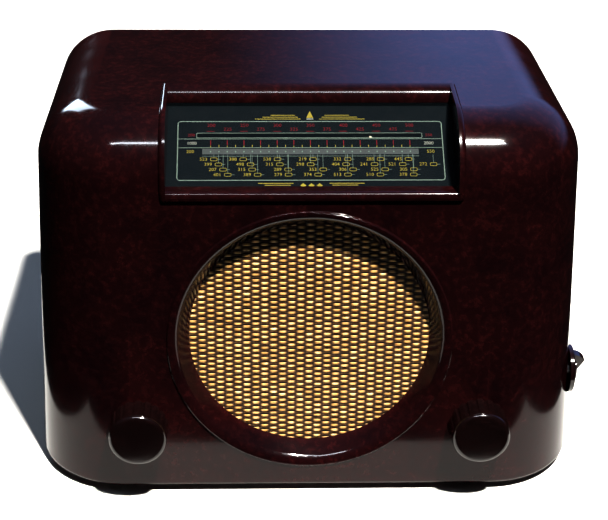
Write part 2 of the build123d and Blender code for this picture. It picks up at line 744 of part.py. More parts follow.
with BuildPart() as gang_stators:
    for start in SECTIONS:
        for index in range(ROTOR_VANES + 1):
            with BuildSketch(facing_front(start + VANE_PITCH * index + VANE_T)):
                with Locations((DRUM_X, DRUM_Z)):
                    Circle(STATOR_R)
                    Circle(6.5, mode=Mode.SUBTRACT)
                    Rectangle(60, 30, align=(Align.CENTER, Align.MAX), mode=Mode.SUBTRACT)
            extrude(amount=VANE_T)
    with BuildSketch(facing_front(GANG_BACK - 1.6)):
        with Locations((DRUM_X, DRUM_Z)):
            with PolarLocations(20, 2, start_angle=30, angular_range=120, endpoint=True):
                Circle(1.2)
    extrude(amount=GANG_BACK - GANG_FRONT - 3.2)
hand_in(gang_stators, "gang_stators")

# ---- drive cord: one plane, both ends tied at the drum's rim
TIE_ANGLE = 219.0
TIE_GAP = 2.0


def wrap_point(y, centre, radius, angle):
    """Point on a wrap circle, angle in degrees anticlockwise from +X seen from the front."""
    turn = radians(angle)
    return (centre[0] + radius * cos(turn), y, centre[1] + radius * sin(turn))


drum_at = (DRUM_X, DRUM_Z)
knob_at = (KNOB_X, KNOB_Z)
left_at, right_at, lower_at = PULLEYS.values()
with BuildPart() as drive_cord:
    with BuildLine() as cord_route:
        ThreePointArc(*[wrap_point(CORD_Y, drum_at, drum_wrap, angle)
                        for angle in (TIE_ANGLE - TIE_GAP, (TIE_ANGLE + 180) / 2, 180)])
        Line(cord_route.line @ 1, wrap_point(CORD_Y, lower_at, pulley_wrap, 0))
        ThreePointArc(*[wrap_point(CORD_Y, lower_at, pulley_wrap, angle) for angle in (0, 45, 90)])
        Line(wrap_point(CORD_Y, lower_at, pulley_wrap, 90), wrap_point(CORD_Y, left_at, pulley_wrap, 270))
        ThreePointArc(*[wrap_point(CORD_Y, left_at, pulley_wrap, angle) for angle in (270, 180, 90)])
        Line(wrap_point(CORD_Y, left_at, pulley_wrap, 90), wrap_point(CORD_Y, right_at, pulley_wrap, 90))
        ThreePointArc(*[wrap_point(CORD_Y, right_at, pulley_wrap, angle) for angle in (90, 45, 0)])
        Line(wrap_point(CORD_Y, right_at, pulley_wrap, 0), wrap_point(CORD_Y, drum_at, drum_wrap, 0))
        ThreePointArc(*[wrap_point(CORD_Y, drum_at, drum_wrap, angle)
                        for angle in (0, (TIE_ANGLE - 360) / 2, TIE_ANGLE + TIE_GAP - 360)])
    with BuildSketch(Plane(origin=cord_route.line @ 0, z_dir=cord_route.line % 0)):
        Circle(CORD_R)
    sweep(path=cord_route.line)
hand_in(drive_cord, "drive_cord")

# ---- spindle cord: endless loop from the tuning spindle to the drum's back groove
loop_heading = degrees(atan2(DRUM_Z - KNOB_Z, DRUM_X - KNOB_X))
loop_span = sqrt((DRUM_Z - KNOB_Z) ** 2 + (DRUM_X - KNOB_X) ** 2)
touch = degrees(acos((spindle_wrap - drum_wrap) / loop_span))
near_side = loop_heading - touch
far_side = loop_heading + touch
with BuildPart() as spindle_cord:
    with BuildLine() as loop:
        ThreePointArc(*[wrap_point(BELT_Y, drum_at, drum_wrap, angle)
                        for angle in (near_side, loop_heading, far_side)])
        Line(wrap_point(BELT_Y, drum_at, drum_wrap, far_side), wrap_point(BELT_Y, knob_at, spindle_wrap, far_side))
        ThreePointArc(*[wrap_point(BELT_Y, knob_at, spindle_wrap, angle)
                        for angle in (far_side, loop_heading + 180, near_side)])
        Line(wrap_point(BELT_Y, knob_at, spindle_wrap, near_side), wrap_point(BELT_Y, drum_at, drum_wrap, near_side))
    with BuildSketch(Plane(origin=loop.line @ 0, z_dir=loop.line % 0)):
        Circle(CORD_R)
    sweep(path=loop.line)
hand_in(spindle_cord, "spindle_cord")

SPRING_R = 1.2
SPRING_WIRE = 0.28
with BuildPart() as cord_spring:
    with BuildLine(Plane(origin=wrap_point(CORD_Y, drum_at, DRUM_R - 18, TIE_ANGLE),
                         z_dir=(cos(radians(TIE_ANGLE)), 0, sin(radians(TIE_ANGLE))))) as coil:
        Helix(pitch=0.9, height=13.5, radius=SPRING_R)
    with BuildSketch(Plane(origin=coil.line @ 0, z_dir=coil.line % 0)):
        Circle(SPRING_WIRE)
    sweep(path=coil.line, is_frenet=True)
hand_in(cord_spring, "cord_spring")

# ---- volume control on its bracket
with BuildPart() as volume_bracket:
    with BuildSketch(facing_front(BRACKET_Y + SHEET)):
        with Locations((-KNOB_X, BASE_TOP)):
            Rectangle(44, 56, align=(Align.CENTER, Align.MIN))
        with Locations((-KNOB_X, KNOB_Z)):
            Circle(4.8, mode=Mode.SUBTRACT)
    extrude(amount=SHEET)
    with BuildSketch(Plane.XY.offset(BASE_TOP)):
        with Locations((-KNOB_X, BRACKET_Y)):
            Rectangle(44, CHASSIS_FRONT - BRACKET_Y, align=(Align.CENTER, Align.MIN))
    extrude(amount=SHEET)
    with BuildSketch(facing_front(CHASSIS_FRONT)):
        with Locations((-KNOB_X, BASE_TOP)):
            Rectangle(44, 14, align=(Align.CENTER, Align.MIN))
    extrude(amount=SHEET)
hand_in(volume_bracket, "volume_bracket")

POT_BACK = BRACKET_Y + SHEET + 12
with BuildPart() as volume_control:
    with BuildSketch(facing_front(POT_BACK)):
        with Locations((-KNOB_X, KNOB_Z)):
            Circle(13)
    extrude(amount=12)
    fillet(volume_control.faces().sort_by(Axis.Y)[-1].edges(), 1.5)
    with BuildSketch(facing_front(BRACKET_Y + SHEET + 5)):
        with Locations((-KNOB_X, KNOB_Z - 12)):
            Rectangle(16, 7)
    extrude(amount=4)
    with BuildSketch(facing_front(BRACKET_Y + SHEET)):
        with Locations((-KNOB_X, KNOB_Z)):
            Circle(4.8)
    extrude(amount=10)
    with BuildSketch(facing_front(BRACKET_Y)):
        with Locations((-KNOB_X, KNOB_Z)):
            RegularPolygon(7.5, 6)
    extrude(amount=2.5)
    with BuildSketch(facing_front(POT_BACK - 3)):
        with Locations((-KNOB_X, KNOB_Z)):
            Circle(SHAFT_R + PLAY)
    extrude(amount=30, mode=Mode.SUBTRACT)
hand_in(volume_control, "volume_control")

with BuildPart() as volume_shaft:
    with BuildSketch(facing_front(POT_BACK - 3.5)):
        with Locations((-KNOB_X, KNOB_Z)):
            Circle(SHAFT_R)
    extrude(amount=POT_BACK - 3.5 + 9)
hand_in(volume_shaft, "volume_shaft")

# ---- wave-change switch and its lever knob on the right side
SWITCH_X = 110.0
with BuildPart() as wave_bracket:
    with BuildSketch(Plane.YZ.offset(SWITCH_X + 12)):
        with Locations((46, 52)):
            Rectangle(38, 38)
        with Locations((WAVE_Y, WAVE_Z)):
            Circle(4.8, mode=Mode.SUBTRACT)
    extrude(amount=SHEET)
    with BuildSketch(facing_front(BRACKET_Y)):
        with Locations((SWITCH_X + 12 + SHEET, 52)):
            Rectangle(12, 38 - 16, align=(Align.MAX, Align.CENTER))
    extrude(amount=SHEET)
hand_in(wave_bracket, "wave_bracket")

with BuildPart() as wave_switch:
    with BuildSketch(Plane.YZ.offset(SWITCH_X)):
        with Locations((WAVE_Y, WAVE_Z)):
            Circle(15)
            with PolarLocations(15, 12):
                Rectangle(4, 1.4)
    extrude(amount=1.6)
    with BuildSketch(Plane.YZ.offset(SWITCH_X)):
        with Locations((WAVE_Y, WAVE_Z)):
            with GridLocations(20, 1, 2, 1):
                Circle(1.6)
    extrude(amount=12)
    with BuildSketch(Plane.YZ.offset(SWITCH_X + 9)):
        with Locations((WAVE_Y, WAVE_Z)):
            Circle(13)
    extrude(amount=3)
    with BuildSketch(Plane.YZ.offset(SWITCH_X + 12)):
        with Locations((WAVE_Y, WAVE_Z)):
            Circle(4.8)
    extrude(amount=9)
    with BuildSketch(Plane.YZ.offset(SWITCH_X + 12 + SHEET)):
        with Locations((WAVE_Y, WAVE_Z)):
            RegularPolygon(7.5, 6)
    extrude(amount=2.5)
    with BuildSketch(Plane.YZ.offset(SWITCH_X - 1)):
        with Locations((WAVE_Y, WAVE_Z)):
            Circle(SHAFT_R + PLAY)
    extrude(amount=30, mode=Mode.SUBTRACT)
hand_in(wave_switch, "wave_switch")

WAVE_FACE = SIDE_X + WAVE_PROUD
HUB_R = 7.0
HUB_H = 2.0
with BuildPart() as wave_shaft:
    with BuildSketch(Plane.YZ.offset(SWITCH_X - 3)):
        with Locations((WAVE_Y, WAVE_Z)):
            Circle(SHAFT_R)
    extrude(amount=WAVE_FACE + 3 - SWITCH_X)
hand_in(wave_shaft, "wave_shaft")

with BuildPart() as wave_knob:
    with BuildSketch(Plane.YZ.offset(SIDE_X - WAVE_SINK)):
        with Locations((WAVE_Y, WAVE_Z)):
            Circle(WAVE_R)
    extrude(amount=WAVE_SINK + WAVE_PROUD)
    fillet(wave_knob.faces().sort_by(Axis.X)[-1].edges(), WAVE_PROUD / 2)
    with BuildSketch(Plane.YZ.offset(SIDE_X)):
        with Locations((WAVE_Y, WAVE_Z)):
            Circle(HUB_R)
    extrude(amount=WAVE_PROUD + HUB_H)
    # fin that the finger pushes: flat below, rounded above
    with BuildSketch(facing_front(WAVE_Y + WAVE_FIN_T / 2)):
        with BuildLine():
            fin_root = (SIDE_X, WAVE_Z + 0.77 * WAVE_R)
            fin_tip = (SIDE_X + WAVE_FIN, WAVE_Z + 0.5 * WAVE_R)
            fin_foot = (WAVE_FACE, WAVE_Z - 0.25 * WAVE_R)
            Spline(fin_root, (SIDE_X + 0.6 * WAVE_FIN, WAVE_Z + 0.7 * WAVE_R), fin_tip)
            Polyline(fin_tip, fin_foot, (SIDE_X, fin_foot[1]), fin_root)
        make_face()
    extrude(amount=WAVE_FIN_T)
    with BuildSketch(Plane.YZ.offset(SIDE_X - WAVE_SINK)):
        with Locations((WAVE_Y, WAVE_Z)):
            Circle(SHAFT_R)
    extrude(amount=WAVE_SINK + WAVE_PROUD, mode=Mode.SUBTRACT)
hand_in(wave_knob, "wave_knob")

# ---- speaker: cloth, baffle, frame, magnet, cone
BAFFLE_FACE = -RING_BACK - CLOTH_T
BAFFLE_REAR = BAFFLE_FACE - BAFFLE_T
BAFFLE_BOLTS = [(-BAFFLE_BOLT_X, -BAFFLE_BOLT_UP), (BAFFLE_BOLT_X, -BAFFLE_BOLT_UP),
                (-BAFFLE_BOLT_X, BAFFLE_BOLT_UP), (BAFFLE_BOLT_X, BAFFLE_BOLT_UP)]
FLANGE_R = 76.0
CONE_R = 66.0
with BuildPart() as speaker_cloth:
    with BuildSketch(SPEAKER.offset(BAFFLE_FACE)):
        Circle(RING_R + 3)
    extrude(amount=CLOTH_T)
hand_in(speaker_cloth, "speaker_cloth")

with BuildPart() as baffle_board:
    with BuildSketch(SPEAKER.offset(BAFFLE_REAR)):
        Rectangle(BAFFLE_W, BAFFLE_H)
        Circle(CONE_R + 1, mode=Mode.SUBTRACT)
        with Locations(*BAFFLE_BOLTS):
            Circle(1.9, mode=Mode.SUBTRACT)
    extrude(amount=BAFFLE_T)
hand_in(baffle_board, "baffle_board")

with BuildPart() as baffle_screws:
    with BuildSketch(SPEAKER.offset(BAFFLE_REAR)):
        with Locations(*BAFFLE_BOLTS):
            Circle(3.4)
    extrude(amount=-1.6)
    with BuildSketch(SPEAKER.offset(BAFFLE_REAR)):
        with Locations(*BAFFLE_BOLTS):
            Circle(1.2)
    extrude(amount=BAFFLE_T - 0.1)
hand_in(baffle_screws, "baffle_screws")

FRAME_REAR = -52.0
POLE_R = 28.0
with BuildPart() as speaker_frame:
    with BuildSketch(SPEAKER_SECTION):
        Polygon((FLANGE_R, BAFFLE_REAR), (CONE_R + 1, BAFFLE_REAR), (CONE_R - 1, BAFFLE_REAR - 3), (34, FRAME_REAR + 6),
                (30, FRAME_REAR), (17, FRAME_REAR), (17, FRAME_REAR - 1.4), (31, FRAME_REAR - 1.4),
                (35.4, FRAME_REAR + 5), (CONE_R + 0.6, BAFFLE_REAR - 3), (CONE_R + 1, BAFFLE_REAR - 1.4),
                (FLANGE_R, BAFFLE_REAR - 1.4), align=None)
    revolve(axis=SPEAKER_AXIS)
    with BuildSketch(SPEAKER.offset(FRAME_REAR + 4)):
        with PolarLocations(49, 6):
            RectangleRounded(19, 26, 5)
    extrude(amount=26, mode=Mode.SUBTRACT)
hand_in(speaker_frame, "speaker_frame")

COIL_R = 12.5
MAGNET_REAR = FRAME_REAR - 1.4 - 26
with BuildPart() as speaker_magnet:
    with BuildSketch(SPEAKER.offset(MAGNET_REAR)):
        Circle(POLE_R)
    extrude(amount=26)
    fillet(speaker_magnet.faces().sort_by(SPEAKER_AXIS)[0].edges(), 2)
    with BuildSketch(SPEAKER.offset(MAGNET_REAR + 8)):
        Circle(COIL_R + 1)
        Circle(COIL_R - 1.4, mode=Mode.SUBTRACT)
    extrude(amount=20, mode=Mode.SUBTRACT)
hand_in(speaker_magnet, "speaker_magnet")

CONE_T = 0.6
with BuildPart() as speaker_cone:
    with BuildSketch(SPEAKER_SECTION):
        Polygon((CONE_R - 2.4, BAFFLE_REAR - 1), (COIL_R, FRAME_REAR + 10), (COIL_R, FRAME_REAR - 8),
                (COIL_R - 0.6, FRAME_REAR - 8), (COIL_R - 0.6, FRAME_REAR + 10 + CONE_T),
                (CONE_R - 3.4, BAFFLE_REAR - 1 + CONE_T), (CONE_R - 1.2, BAFFLE_REAR - 1 + CONE_T),
                (CONE_R - 1.2, BAFFLE_REAR - 1), align=None)
    revolve(axis=SPEAKER_AXIS)
    with BuildSketch(SPEAKER_SECTION):
        Polygon((0, FRAME_REAR + 13.4), (0, FRAME_REAR + 14), (6, FRAME_REAR + 12.6), (COIL_R - 0.3, FRAME_REAR + 9),
                (COIL_R - 0.3, FRAME_REAR + 8), align=None)
    revolve(axis=SPEAKER_AXIS)
hand_in(speaker_cone, "speaker_cone")

# ---- chassis and what stands on it
DECK_TOP = DECK_Z + SHEET
VALVES = {"rectifier_valve": (-70, 160, 70), "output_valve": (-31, 160, 68), "detector_valve": (8, 160, 58),
          "if_valve": (47, 160, 58), "mixer_valve": (110, 150, 62)}
CAN_AT = (-66, 112)
IF_CANS = [(-22, 124), (26, 124)]
COILS_AT = [(118, 108), (118, 124)]
TRANSFORMER_AT = (-108, 108)
DROPPER_AT = (-112, 160)
with BuildPart() as chassis:
    with BuildSketch(Plane.XY.offset(BASE_TOP)):
        with Locations((0, CHASSIS_FRONT)):
            Rectangle(2 * CHASSIS_HALF, CHASSIS_BACK - CHASSIS_FRONT, align=(Align.CENTER, Align.MIN))
    extrude(amount=DECK_TOP - BASE_TOP)
    with BuildSketch(Plane.XY.offset(BASE_TOP - 1)):
        with Locations((0, CHASSIS_FRONT + SHEET)):
            Rectangle(2 * (CHASSIS_HALF - SHEET), CHASSIS_BACK - CHASSIS_FRONT - 2 * SHEET,
                      align=(Align.CENTER, Align.MIN))
    extrude(amount=DECK_Z - BASE_TOP + 1, mode=Mode.SUBTRACT)
    with BuildSketch(Plane.XY.offset(BASE_TOP)):
        with GridLocations(2 * CHASSIS_HALF - 34 - 2 * SHEET, 1, 2, 1):
            with Locations((0, CHASSIS_FRONT)):
                Rectangle(34, CHASSIS_BACK - CHASSIS_FRONT, align=(Align.CENTER, Align.MIN))
    extrude(amount=SHEET)
    with BuildSketch(Plane.XY.offset(BASE_TOP - 1)):
        with Locations(*CHASSIS_BOLTS):
            Circle(2.3)
    extrude(amount=4, mode=Mode.SUBTRACT)
    with BuildSketch(Plane.XY.offset(DECK_Z)):
        with Locations(*[(x, y) for x, y, height in VALVES.values()]):
            Circle(9)
        with Locations(CAN_AT):
            Circle(6)
    extrude(amount=SHEET, mode=Mode.SUBTRACT)
hand_in(chassis, "chassis")

with BuildPart() as chassis_bolts:
    with BuildSketch(Plane.XY.offset(FOOT)):
        with Locations(*CHASSIS_BOLTS):
            Circle(4.2)
    extrude(amount=-2.2)
    with BuildSketch(Plane.XY.offset(FOOT)):
        with Locations(*CHASSIS_BOLTS):
            Circle(2.0)
    extrude(amount=WALL + SHEET + 5)
    with BuildSketch(Plane.XY.offset(BASE_TOP + SHEET)):
        with Locations(*CHASSIS_BOLTS):
            RegularPolygon(3.9, 6)
    extrude(amount=3)
    with BuildSketch(Plane.XY.offset(FOOT - 2.2)):
        with Locations(*CHASSIS_BOLTS):
            Rectangle(6.4, 1.1)
    extrude(amount=1.1, mode=Mode.SUBTRACT)
hand_in(chassis_bolts, "chassis_bolts")

SOCKET_R = 11.0
SOCKET_H = 6.0
with BuildPart() as valve_sockets:
    with BuildSketch(Plane.XY.offset(DECK_TOP)):
        with Locations(*[(x, y) for x, y, height in VALVES.values()]):
            SlotCenterToCenter(26, 7)
            Circle(SOCKET_R)
    extrude(amount=1.2)
    with BuildSketch(Plane.XY.offset(DECK_TOP)):
        with Locations(*[(x, y) for x, y, height in VALVES.values()]):
            Circle(SOCKET_R)
    extrude(amount=SOCKET_H)
    with BuildSketch(Plane.XY.offset(DECK_Z - 6)):
        with Locations(*[(x, y) for x, y, height in VALVES.values()]):
            Circle(8.9)
    extrude(amount=6 + SHEET + 1)
hand_in(valve_sockets, "valve_sockets")

VALVE_R = 10.6
GLASS_WALL = 1.0
VALVE_BASE = DECK_TOP + SOCKET_H


def valve(label, x, y, height):
    """All-glass valve: hollow envelope with a rounded top and a pip."""
    with BuildPart() as envelope:
        with BuildSketch(Plane.XY.offset(VALVE_BASE)):
            with Locations((x, y)):
                Circle(VALVE_R)
        extrude(amount=height - 4)
        fillet(envelope.faces().sort_by(Axis.Z)[-1].edges(), VALVE_R * 0.8)
        with Locations((x, y, VALVE_BASE + height - 5)):
            Cone(2.4, 0.8, 4.5, align=(Align.CENTER, Align.CENTER, Align.MIN))
        with BuildPart(mode=Mode.PRIVATE) as hollow:
            with BuildSketch(Plane.XY.offset(VALVE_BASE + 3)):
                with Locations((x, y)):
                    Circle(VALVE_R - GLASS_WALL)
            extrude(amount=height - 8.5)
            fillet(hollow.faces().sort_by(Axis.Z)[-1].edges(), VALVE_R * 0.7)
        add(hollow.part, mode=Mode.SUBTRACT)
    hand_in(envelope, label)


for name, place in VALVES.items():
    valve(name, *place)

with BuildPart() as valve_electrodes:
    for x, y, height in VALVES.values():
        with BuildSketch(Plane.XY.offset(VALVE_BASE + 3)):
            with Locations((x, y)):
                Circle(4)
        extrude(amount=8)
        with BuildSketch(Plane.XY.offset(VALVE_BASE + 11)):
            with Locations((x, y)):
                Circle(7)
        extrude(amount=1)
        with BuildSketch(Plane.XY.offset(VALVE_BASE + 12)):
            with Locations((x, y)):
                RectangleRounded(11, 7, 2)
        extrude(amount=height - 28)
        with BuildSketch(Plane.XY.offset(VALVE_BASE + height - 16)):
            with Locations((x, y)):
                Circle(7)
        extrude(amount=1)
hand_in(valve_electrodes, "valve_electrodes")

with BuildPart() as if_cans:
    with BuildSketch(Plane.XY.offset(DECK_TOP)):
        with Locations(*IF_CANS):
            RectangleRounded(25, 25, 3)
    extrude(amount=46)
    fillet(if_cans.faces().filter_by(Plane.XY).group_by(Axis.Z)[-1].edges(), 2)
    with BuildSketch(Plane.XY.offset(DECK_TOP + 44)):
        with Locations(*IF_CANS):
            Circle(3)
    extrude(amount=2, mode=Mode.SUBTRACT)
hand_in(if_cans, "if_cans")

with BuildPart() as output_transformer:
    with BuildSketch(Plane.XY.offset(DECK_TOP)):
        with Locations(TRANSFORMER_AT):
            Rectangle(38, 20)
    extrude(amount=34)
    with BuildSketch(Plane.XY.offset(DECK_TOP + 7)):
        with Locations(TRANSFORMER_AT):
            RectangleRounded(26, 34, 4)
    extrude(amount=20)
    with BuildSketch(Plane.XY.offset(DECK_TOP)):
        with Locations(TRANSFORMER_AT):
            Rectangle(50, 14)
    extrude(amount=1.2)
hand_in(output_transformer, "output_transformer")

with BuildPart() as smoothing_can:
    with BuildSketch(Plane.XY.offset(DECK_Z - 8)):
        with Locations(CAN_AT):
            Circle(5.8)
    extrude(amount=8 + SHEET)
    with BuildSketch(Plane.XY.offset(DECK_TOP)):
        with Locations(CAN_AT):
            Circle(15)
    extrude(amount=60)
    fillet(smoothing_can.faces().sort_by(Axis.Z)[-1].edges(), 2)
    with BuildSketch(Plane.XY.offset(DECK_TOP + 5)):
        with Locations(CAN_AT):
            Circle(16)
    extrude(amount=8)
hand_in(smoothing_can, "smoothing_can")

with BuildPart() as mains_dropper:
    with Locations((*DROPPER_AT, DECK_TOP)):
        Cylinder(3, 78, align=(Align.CENTER, Align.CENTER, Align.MIN))
        Cylinder(13, 2, align=(Align.CENTER, Align.CENTER, Align.MIN))
    with Locations((*DROPPER_AT, DECK_TOP + 2)):
        Cylinder(11, 70, align=(Align.CENTER, Align.CENTER, Align.MIN))
    for level in (8, 22, 36, 50, 62):
        with Locations((*DROPPER_AT, DECK_TOP + level)):
            Cylinder(11.8, 4, align=(Align.CENTER, Align.CENTER, Align.MIN))
            with Locations((0, 12.6, 2)):
                Box(3, 4, 2)
hand_in(mains_dropper, "mains_dropper")

with BuildPart() as aerial_coils:
    with BuildSketch(Plane.XY.offset(DECK_TOP)):
        with Locations(*COILS_AT):
            Circle(6)
            Circle(3.4, mode=Mode.SUBTRACT)
    extrude(amount=38)
    with BuildSketch(Plane.XY.offset(DECK_TOP + 8)):
        with Locations(*COILS_AT):
            Circle(7.6)
            Circle(5.5, mode=Mode.SUBTRACT)
    extrude(amount=7)
    with BuildSketch(Plane.XY.offset(DECK_TOP + 21)):
        with Locations(*COILS_AT):
            Circle(7.6)
            Circle(5.5, mode=Mode.SUBTRACT)
    extrude(amount=10)
hand_in(aerial_coils, "aerial_coils")
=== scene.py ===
"""Looks for the moulded table radio: glossy dark moulding, printed dial, woven speaker cloth."""

import json
import math
import random

import bmesh
import bpy
from mathutils import Matrix, Vector


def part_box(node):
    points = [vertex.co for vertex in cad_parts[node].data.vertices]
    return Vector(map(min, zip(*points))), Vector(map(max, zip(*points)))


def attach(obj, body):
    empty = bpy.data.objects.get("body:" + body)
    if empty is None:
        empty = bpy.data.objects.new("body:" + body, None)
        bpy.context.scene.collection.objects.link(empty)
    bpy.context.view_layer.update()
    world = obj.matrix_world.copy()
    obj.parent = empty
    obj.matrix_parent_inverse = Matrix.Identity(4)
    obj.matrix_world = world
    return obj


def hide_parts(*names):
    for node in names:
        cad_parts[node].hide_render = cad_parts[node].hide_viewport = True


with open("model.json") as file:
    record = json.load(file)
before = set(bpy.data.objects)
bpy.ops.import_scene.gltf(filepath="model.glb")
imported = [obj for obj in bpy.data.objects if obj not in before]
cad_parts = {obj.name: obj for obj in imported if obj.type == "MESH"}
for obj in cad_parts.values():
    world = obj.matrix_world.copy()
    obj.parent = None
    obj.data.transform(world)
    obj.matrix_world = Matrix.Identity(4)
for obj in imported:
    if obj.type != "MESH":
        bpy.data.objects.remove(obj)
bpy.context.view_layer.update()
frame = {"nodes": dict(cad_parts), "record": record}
nodes = frame["nodes"]
MM = 0.001


# ---------------------------------------------------------------- places read from the frame
def middle(node):
    """Middle of a node's box."""
    low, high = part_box(node)
    return (low + high) / 2


cabinet_low, cabinet_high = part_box("cabinet")
glass_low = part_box("dial_glass")[0]
mid_x = (cabinet_low.x + cabinet_high.x) / 2

# the dial plane: thickness, slope and ledge as built, its foot from the glass's own box
GLASS_T = 2.5 * MM
DIAL_RISE = math.radians(31.9)
GLASS_LEDGE = 2.6 * MM
GLASS_GAP = 0.1 * MM
dial_along = Vector((0, math.cos(DIAL_RISE), math.sin(DIAL_RISE)))
dial_out = Vector((0, -math.sin(DIAL_RISE), math.cos(DIAL_RISE)))
glass_foot = Vector((mid_x, glass_low.y, glass_low.z + GLASS_T * math.cos(DIAL_RISE)))
dial_origin = glass_foot + dial_along * GLASS_LEDGE + dial_out * GLASS_GAP
dial_plane = Matrix((
    (1, 0, 0, dial_origin.x),
    (0, dial_along.y, dial_out.y, dial_origin.y),
    (0, dial_along.z, dial_out.z, dial_origin.z),
    (0, 0, 0, 1)))

# the leaning front face that the speaker sits on
LEAN = math.radians(3.7)
speaker_out = Vector((0, -math.cos(LEAN), math.sin(LEAN)))
speaker_up = Vector((0, math.sin(LEAN), math.cos(LEAN)))
speaker_at = middle("speaker_cloth")
speaker_plane = Matrix((
    (1, 0, 0, speaker_at.x),
    (0, speaker_up.y, speaker_out.y, speaker_at.y),
    (0, speaker_up.z, speaker_out.z, speaker_at.z),
    (0, 0, 0, 1)))


# ---------------------------------------------------------------- camera
SENSOR = 36
LENS = 94.1
SHIFT_X = 0.0144
PITCH = math.radians(28.37)
YAW = math.radians(1.82)
ROLL = math.radians(0.67)
CAMERA_LEFT = 0.0325
CAMERA_BACK = 0.7416
CAMERA_HEIGHT = 0.5524


def add_camera():
    """Camera at the photograph's viewing angle: above, slightly to the left, long lens."""
    data = bpy.data.cameras.new("camera")
    data.sensor_width = SENSOR
    data.lens = LENS
    data.shift_x = SHIFT_X
    camera = bpy.data.objects.new("camera", data)
    bpy.context.scene.collection.objects.link(camera)
    ahead = Vector((math.sin(YAW) * math.cos(PITCH), math.cos(YAW) * math.cos(PITCH), -math.sin(PITCH)))
    flat_right = Vector((math.cos(YAW), -math.sin(YAW), 0))
    flat_up = flat_right.cross(ahead)
    right = flat_right * math.cos(ROLL) + flat_up * math.sin(ROLL)
    up = flat_up * math.cos(ROLL) - flat_right * math.sin(ROLL)
    place = Vector((mid_x - CAMERA_LEFT, cabinet_low.y - CAMERA_BACK, CAMERA_HEIGHT))
    camera.matrix_world = Matrix((
        (right.x, up.x, -ahead.x, place.x),
        (right.y, up.y, -ahead.y, place.y),
        (right.z, up.z, -ahead.z, place.z),
        (0, 0, 0, 1)))
    bpy.context.scene.camera = camera


add_camera()


# ---------------------------------------------------------------- floor, light, surroundings
TABLE_EDGE = 0.062
FLOOR_REACH = 5.0
BACKDROP_R = 4.6
BACKDROP_TOP = 4.0
BACKDROP_SIDES = 48
FLOOR_PALE = (0.80, 0.80, 0.79)
BACKDROP_PALE = (0.86, 0.87, 0.88)

# dome colours from the ground up, and the soft blue at the right behind
DOME_LOW = (0.012, 0.011, 0.012)
DOME_HORIZON = (0.022, 0.023, 0.028)
DOME_MIDDLE = (0.05, 0.06, 0.085)
DOME_TOP = (0.16, 0.20, 0.30)
DOME_BLUE = (0.42, 0.64, 1.40)

# the way towards the key light: high, in front, a little to the right
KEY_WAY = Vector((0.19, -0.40, 0.90)).normalized()
KEY_DISTANCE = 2.8
AIM_LOW = Vector((0, 0, 0.1))
AIM_HIGH = Vector((0, 0, 0.2))


def new_material(name):
    """A node material, with its node tree and its main shader."""
    material = bpy.data.materials.new(name)
    material.use_nodes = True
    return material, material.node_tree, material.node_tree.nodes["Principled BSDF"]


def add_floor():
    """Plain pale floor. Only the part near the object is mirrored in its gloss, as on a table."""
    material, _, shader = new_material("floor_paint")
    shader.inputs["Base Color"].default_value = (*FLOOR_PALE, 1)
    shader.inputs["Roughness"].default_value = 0.65
    left, right = cabinet_low.x - TABLE_EDGE, cabinet_high.x + TABLE_EDGE
    near, back = cabinet_low.y - TABLE_EDGE, cabinet_high.y + TABLE_EDGE
    corners = [(left, near), (right, near), (right, back), (left, back)]
    far = [(-FLOOR_REACH, -FLOOR_REACH), (FLOOR_REACH, -FLOOR_REACH), (FLOOR_REACH, FLOOR_REACH),
           (-FLOOR_REACH, FLOOR_REACH)]
    table = bpy.data.meshes.new("floor_near")
    table.from_pydata([(x, y, 0) for x, y in corners], [], [(0, 1, 2, 3)])
    rest = bpy.data.meshes.new("floor_far")
    rest.from_pydata([(x, y, 0) for x, y in corners + far], [],
                     [(4 + i, 4 + (i + 1) % 4, (i + 1) % 4, i) for i in range(4)])
    for mesh, mirrored in ((table, True), (rest, False)):
        mesh.materials.append(material)
        floor = bpy.data.objects.new(mesh.name, mesh)
        floor.visible_glossy = mirrored
        floor.visible_diffuse = mirrored
        bpy.context.scene.collection.objects.link(floor)


def add_backdrop():
    """Plain pale wall far round the floor, seen by the camera only."""
    material, _, shader = new_material("backdrop_paint")
    shader.inputs["Base Color"].default_value = (0, 0, 0, 1)
    shader.inputs["Emission Color"].default_value = (*BACKDROP_PALE, 1)
    shader.inputs["Emission Strength"].default_value = 1.0
    sides = BACKDROP_SIDES
    turns = [2 * math.pi * i / sides for i in range(sides)]
    ring = [(BACKDROP_R * math.cos(turn), BACKDROP_R * math.sin(turn)) for turn in turns]
    mesh = bpy.data.meshes.new("backdrop")
    mesh.from_pydata([(x, y, z) for z in (0, BACKDROP_TOP) for x, y in ring], [],
                     [(i, (i + 1) % sides, sides + (i + 1) % sides, sides + i) for i in range(sides)])
    mesh.materials.append(material)
    wall = bpy.data.objects.new("backdrop", mesh)
    for kind in ("diffuse", "glossy", "transmission", "shadow"):
        setattr(wall, "visible_" + kind, False)
    bpy.context.scene.collection.objects.link(wall)


def add_light(name, place, target, size, power, colour, size_y=None,
              lights_matt=True, lights_gloss=True):
    """A soft rectangular light facing target, size across and size_y up, in metres and watts."""
    data = bpy.data.lights.new(name, "AREA")
    data.shape = "RECTANGLE"
    data.size = size
    data.size_y = size_y or size
    data.energy = power
    data.color = colour
    lamp = bpy.data.objects.new(name, data)
    bpy.context.scene.collection.objects.link(lamp)
    lamp.location = place
    lamp.visible_diffuse = lights_matt
    lamp.visible_glossy = lights_gloss
    lamp.rotation_mode = "QUATERNION"
    lamp.rotation_quaternion = (Vector(target) - Vector(place)).to_track_quat("-Z", "Y")


